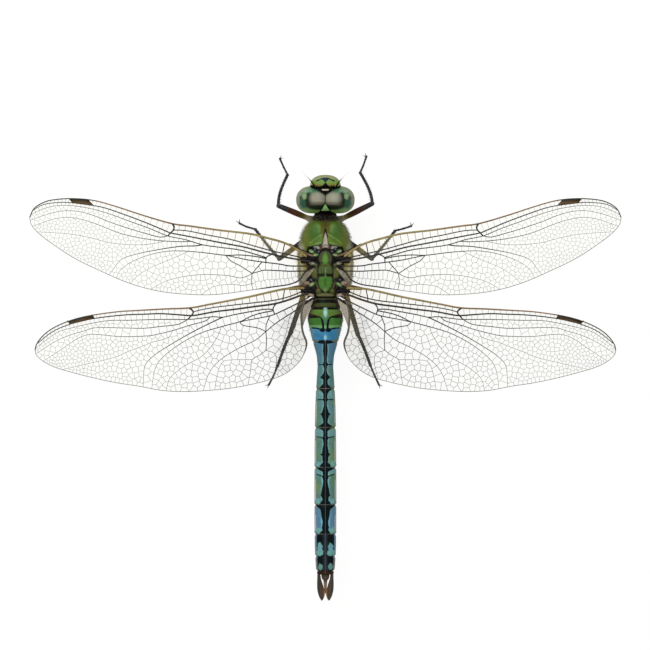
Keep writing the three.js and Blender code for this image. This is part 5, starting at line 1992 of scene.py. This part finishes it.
def spine_rows(piece, start, end, radii, length, count, rows, dice, bow=Vector()):
    """Rows of straight, tapering spines along a joint, leaning towards its end. Each row is the angle
    round the joint at which it stands."""
    along = (end - start).normalized()
    across = along.cross(UP).normalized()
    up = across.cross(along)
    for row in rows:
        c, s = turned(math.radians(row))
        out = across * c + up * s
        for i in range(count):
            share = (i + 0.6 + dice.uniform(-0.15, 0.15)) / count
            radius = float(np.interp(share, np.linspace(0, 1, len(radii)), radii))
            lean = (along * SPINE_ALONG + out * SPINE_OUT).normalized()
            # The longest spines stand near the middle of the joint.
            size = length * (1 - 0.35 * abs(share - 0.45)) * dice.uniform(0.85, 1.1)
            root = bowed(start, end, bow, share) + out * radius * 0.8
            line = [root - lean * 0.08, root + lean * size * 0.5, root + lean * size]
            piece.rod(line, [SPINE_RADIUS * share for share in (1, 0.7, 0.15)], 5)


for name, spots in LEGS.items():
    dice = random.Random(name)
    brownness, thigh_radii, thigh_bow, shin_radii, shin_bow = PAIRS[name.split("_")[0]]
    root, hip, knee, ankle = (Vector(p) for p in spots[:4])
    coxa, femur, tibia, foot = Piece(), Piece(), Piece(), Piece()
    limb(coxa, root, root.lerp(hip, 0.8), [0.8, 0.75, 0.55], 0.1, (1, 1), 24)
    limb(coxa, root.lerp(hip, 0.85), hip.lerp(knee, 0.06), [0.45, 0.5, 0.47], 0.06, (1, 1), 20)
    limb(femur, hip, knee, thigh_radii, 0.12, (brownness, 0), 20, Vector((0, thigh_bow, 0.12)))
    bristly = hip.lerp(knee, 0.25), hip.lerp(knee, 0.96)
    spine_rows(femur, *bristly, thigh_radii[2:], 0.42, 9, (-150, -30), dice)
    bow = Vector((math.copysign(shin_bow, knee.x), 0, 0.1))
    limb(tibia, knee, ankle, shin_radii, bow=bow)
    spine_rows(tibia, knee.lerp(ankle, 0.08), ankle, shin_radii, 0.62, 11, (-160, -20, 100), dice, bow)

    # The foot lies along the table: three joints, the last the longest, and the claws.
    level = FOOT_RADII[-1] + 2 * CLEARANCE
    instep, toe, claw = (Vector((*p, level)) for p in spots[4:])
    joints = [ankle, ankle.lerp(instep, 0.4), instep, toe]
    joints[1].z = blend(ankle.z, level, 0.5)
    for a, b in zip(joints, joints[1:]):
        limb(foot, a, b, FOOT_RADII, 0.08, sides=12)
        spine_rows(foot, a, b, [0.14, 0.16], 0.24, 3, (170, 10), dice)
    ahead = (claw - toe).normalized()
    aside = ahead.cross(UP)
    for sign in (1, -1):
        out = (ahead + aside * sign * 0.5).normalized()
        reach = out * (claw - toe).length * 0.9
        bend, tip = toe + reach * 0.45 + UP * 0.16, toe + reach * 1.02 - UP * 0.12
        hook = smooth_line([toe, bend, toe + reach * 0.85, tip], 0.07)
        foot.rod(hook, CLAW_RADII, 8)
        middle = hook[len(hook) // 2]
        foot.rod([middle, middle + out * 0.2 - UP * 0.12], FORK_RADII, 6)
    for point in foot.points:
        point.z = max(point.z, CLEARANCE)
    for word, piece in (("coxa", coxa), ("femur", femur), ("tibia", tibia), ("tarsus", foot)):
        node = f"leg_{name}_{word}"
        piece.made(f"{node}_skin", leg_finish, "leg_shell", (node,))

# ---- Hairs ----
# Fine pale hairs soften the thorax, most of all its front corners and flanks, and the neck, the collar and
# the first rings of the abdomen. Each is a thin tapering spike that leans back along the body.
HAIR_FACES = [(0, 1, 4, 3), (1, 2, 5, 4), (2, 0, 3, 5), (3, 4, 6), (4, 5, 6), (5, 3, 6)]
HAIR_LIE = (0, 0.75, -0.25)  # hairs lie back and a little down
HAIR_SCATTER = 0.3
ROOT_DEPTH = 0.05
MID_SLIMNESS = 0.7
# The corners of a hair on its small patch of the unrolled skin, and a patch's size there.
HAIR_PATCH = [(0, 0), (1, 0), (2, 0), (0, 1), (1, 1), (2, 1), (1, 2)]
PATCH_SIZE = 0.0015


def hairs(name, skin, weight, count, length, radius, seed, slot, darkness=0.0):
    """Hairs rooted over a Shell, densest where the weight is greatest and all dark if darkness is 1."""
    dice = np.random.default_rng(seed)
    rows, columns = skin.x.shape
    weight = np.clip(weight, 0, None) * np.ones((rows, columns))
    weight[-1] = 0
    picked = dice.choice(rows * columns, count, p=weight.ravel() / weight.sum())
    row, column = picked // columns, picked % columns
    points = np.stack([skin.x, skin.y, skin.z], -1)
    here = points[row, column]
    ahead = (points[row + 1, column] - here) * dice.random((count, 1))
    aside = (points[row, (column + 1) % columns] - here) * dice.random((count, 1))
    out = skin.out[row, column]
    root = here + ahead + aside - out * ROOT_DEPTH
    lie = np.array(HAIR_LIE) + dice.normal(0, HAIR_SCATTER, (count, 3))
    reach = out * 0.75 + lie * 0.6
    reach /= np.linalg.norm(reach, axis=1, keepdims=True)
    size = length * dice.uniform(0.5, 1.15, (count, 1))
    middle = root + reach * size * 0.55
    tip = middle + (reach + lie * 0.5) * size * 0.4
    across = np.cross(reach, np.array([0.3, 0.2, 0.93]))
    across /= np.linalg.norm(across, axis=1, keepdims=True)
    up = np.cross(across, reach)
    rings = []
    for centre, slim in ((root, 1), (middle, MID_SLIMNESS)):
        rings += [centre + (across * c + up * s) * radius * slim for c, s in circle(3)]
    rings.append(tip)
    spikes = np.stack(rings, 1)
    each = len(rings)
    faces = [tuple(each * i + k for k in face) for i in range(count) for face in HAIR_FACES]
    paleness = np.repeat(dice.random(count) * (1 - darkness), each)
    coat = Piece()
    coat.add(spikes.reshape(-1, 3).tolist(), faces, paleness=paleness.tolist())
    made = coat.made(name, hair_finish, slot)
    # A hair's patch lies at its root's place on the unrolled skin.
    spot = np.stack([column / columns, row / rows], -1)[:, None, :] * 0.98 + 0.01
    places = (spot + np.array(HAIR_PATCH) * PATCH_SIZE).reshape(-1, 2)
    corners = np.empty(len(made.data.loops), int)
    made.data.loops.foreach_get("vertex_index", corners)
    made.data.uv_layers.new(name="OFBake").data.foreach_set("uv", places[corners].ravel())


hair_finish, shader, place, *_ = new_finish("hair_finish", Roughness=0.6)
tuft = grain(place, 0.8)
feed(shader, Base_Color=(mark(place, "paleness") * 0.7 + tuft * 0.3).mix("4a4430", "d8d0b4"))

flank = eased(1 - abs(thorax.out[..., 2]), 0.5, 1)
beside_wings = 1 + 1.5 * eased(thorax.y, -10, -8)
hairs("thorax_hairs", thorax, flank * beside_wings + 0.02, 6500, 0.7, 0.01, 1, "thorax_shell")
hairs("neck_hairs", neck, 1, 300, 0.4, 0.012, 2, "thorax_shell", 1)
hairs("collar_hairs", collar, 1, 700, 0.5, 0.012, 3, "thorax_shell", 0.8)
for number, count in ((1, 700), (2, 800)):
    ring, share = ring_shell(number)
    sides = eased(1 - abs(ring.out[..., 2]), 0.2, 0.9) * (1 - share * (number - 1)) + 0.05
    hairs(f"abdomen_{number:02d}_hairs", ring, sides, count, 0.4, 0.009, 10 + number, "abdomen_shell")
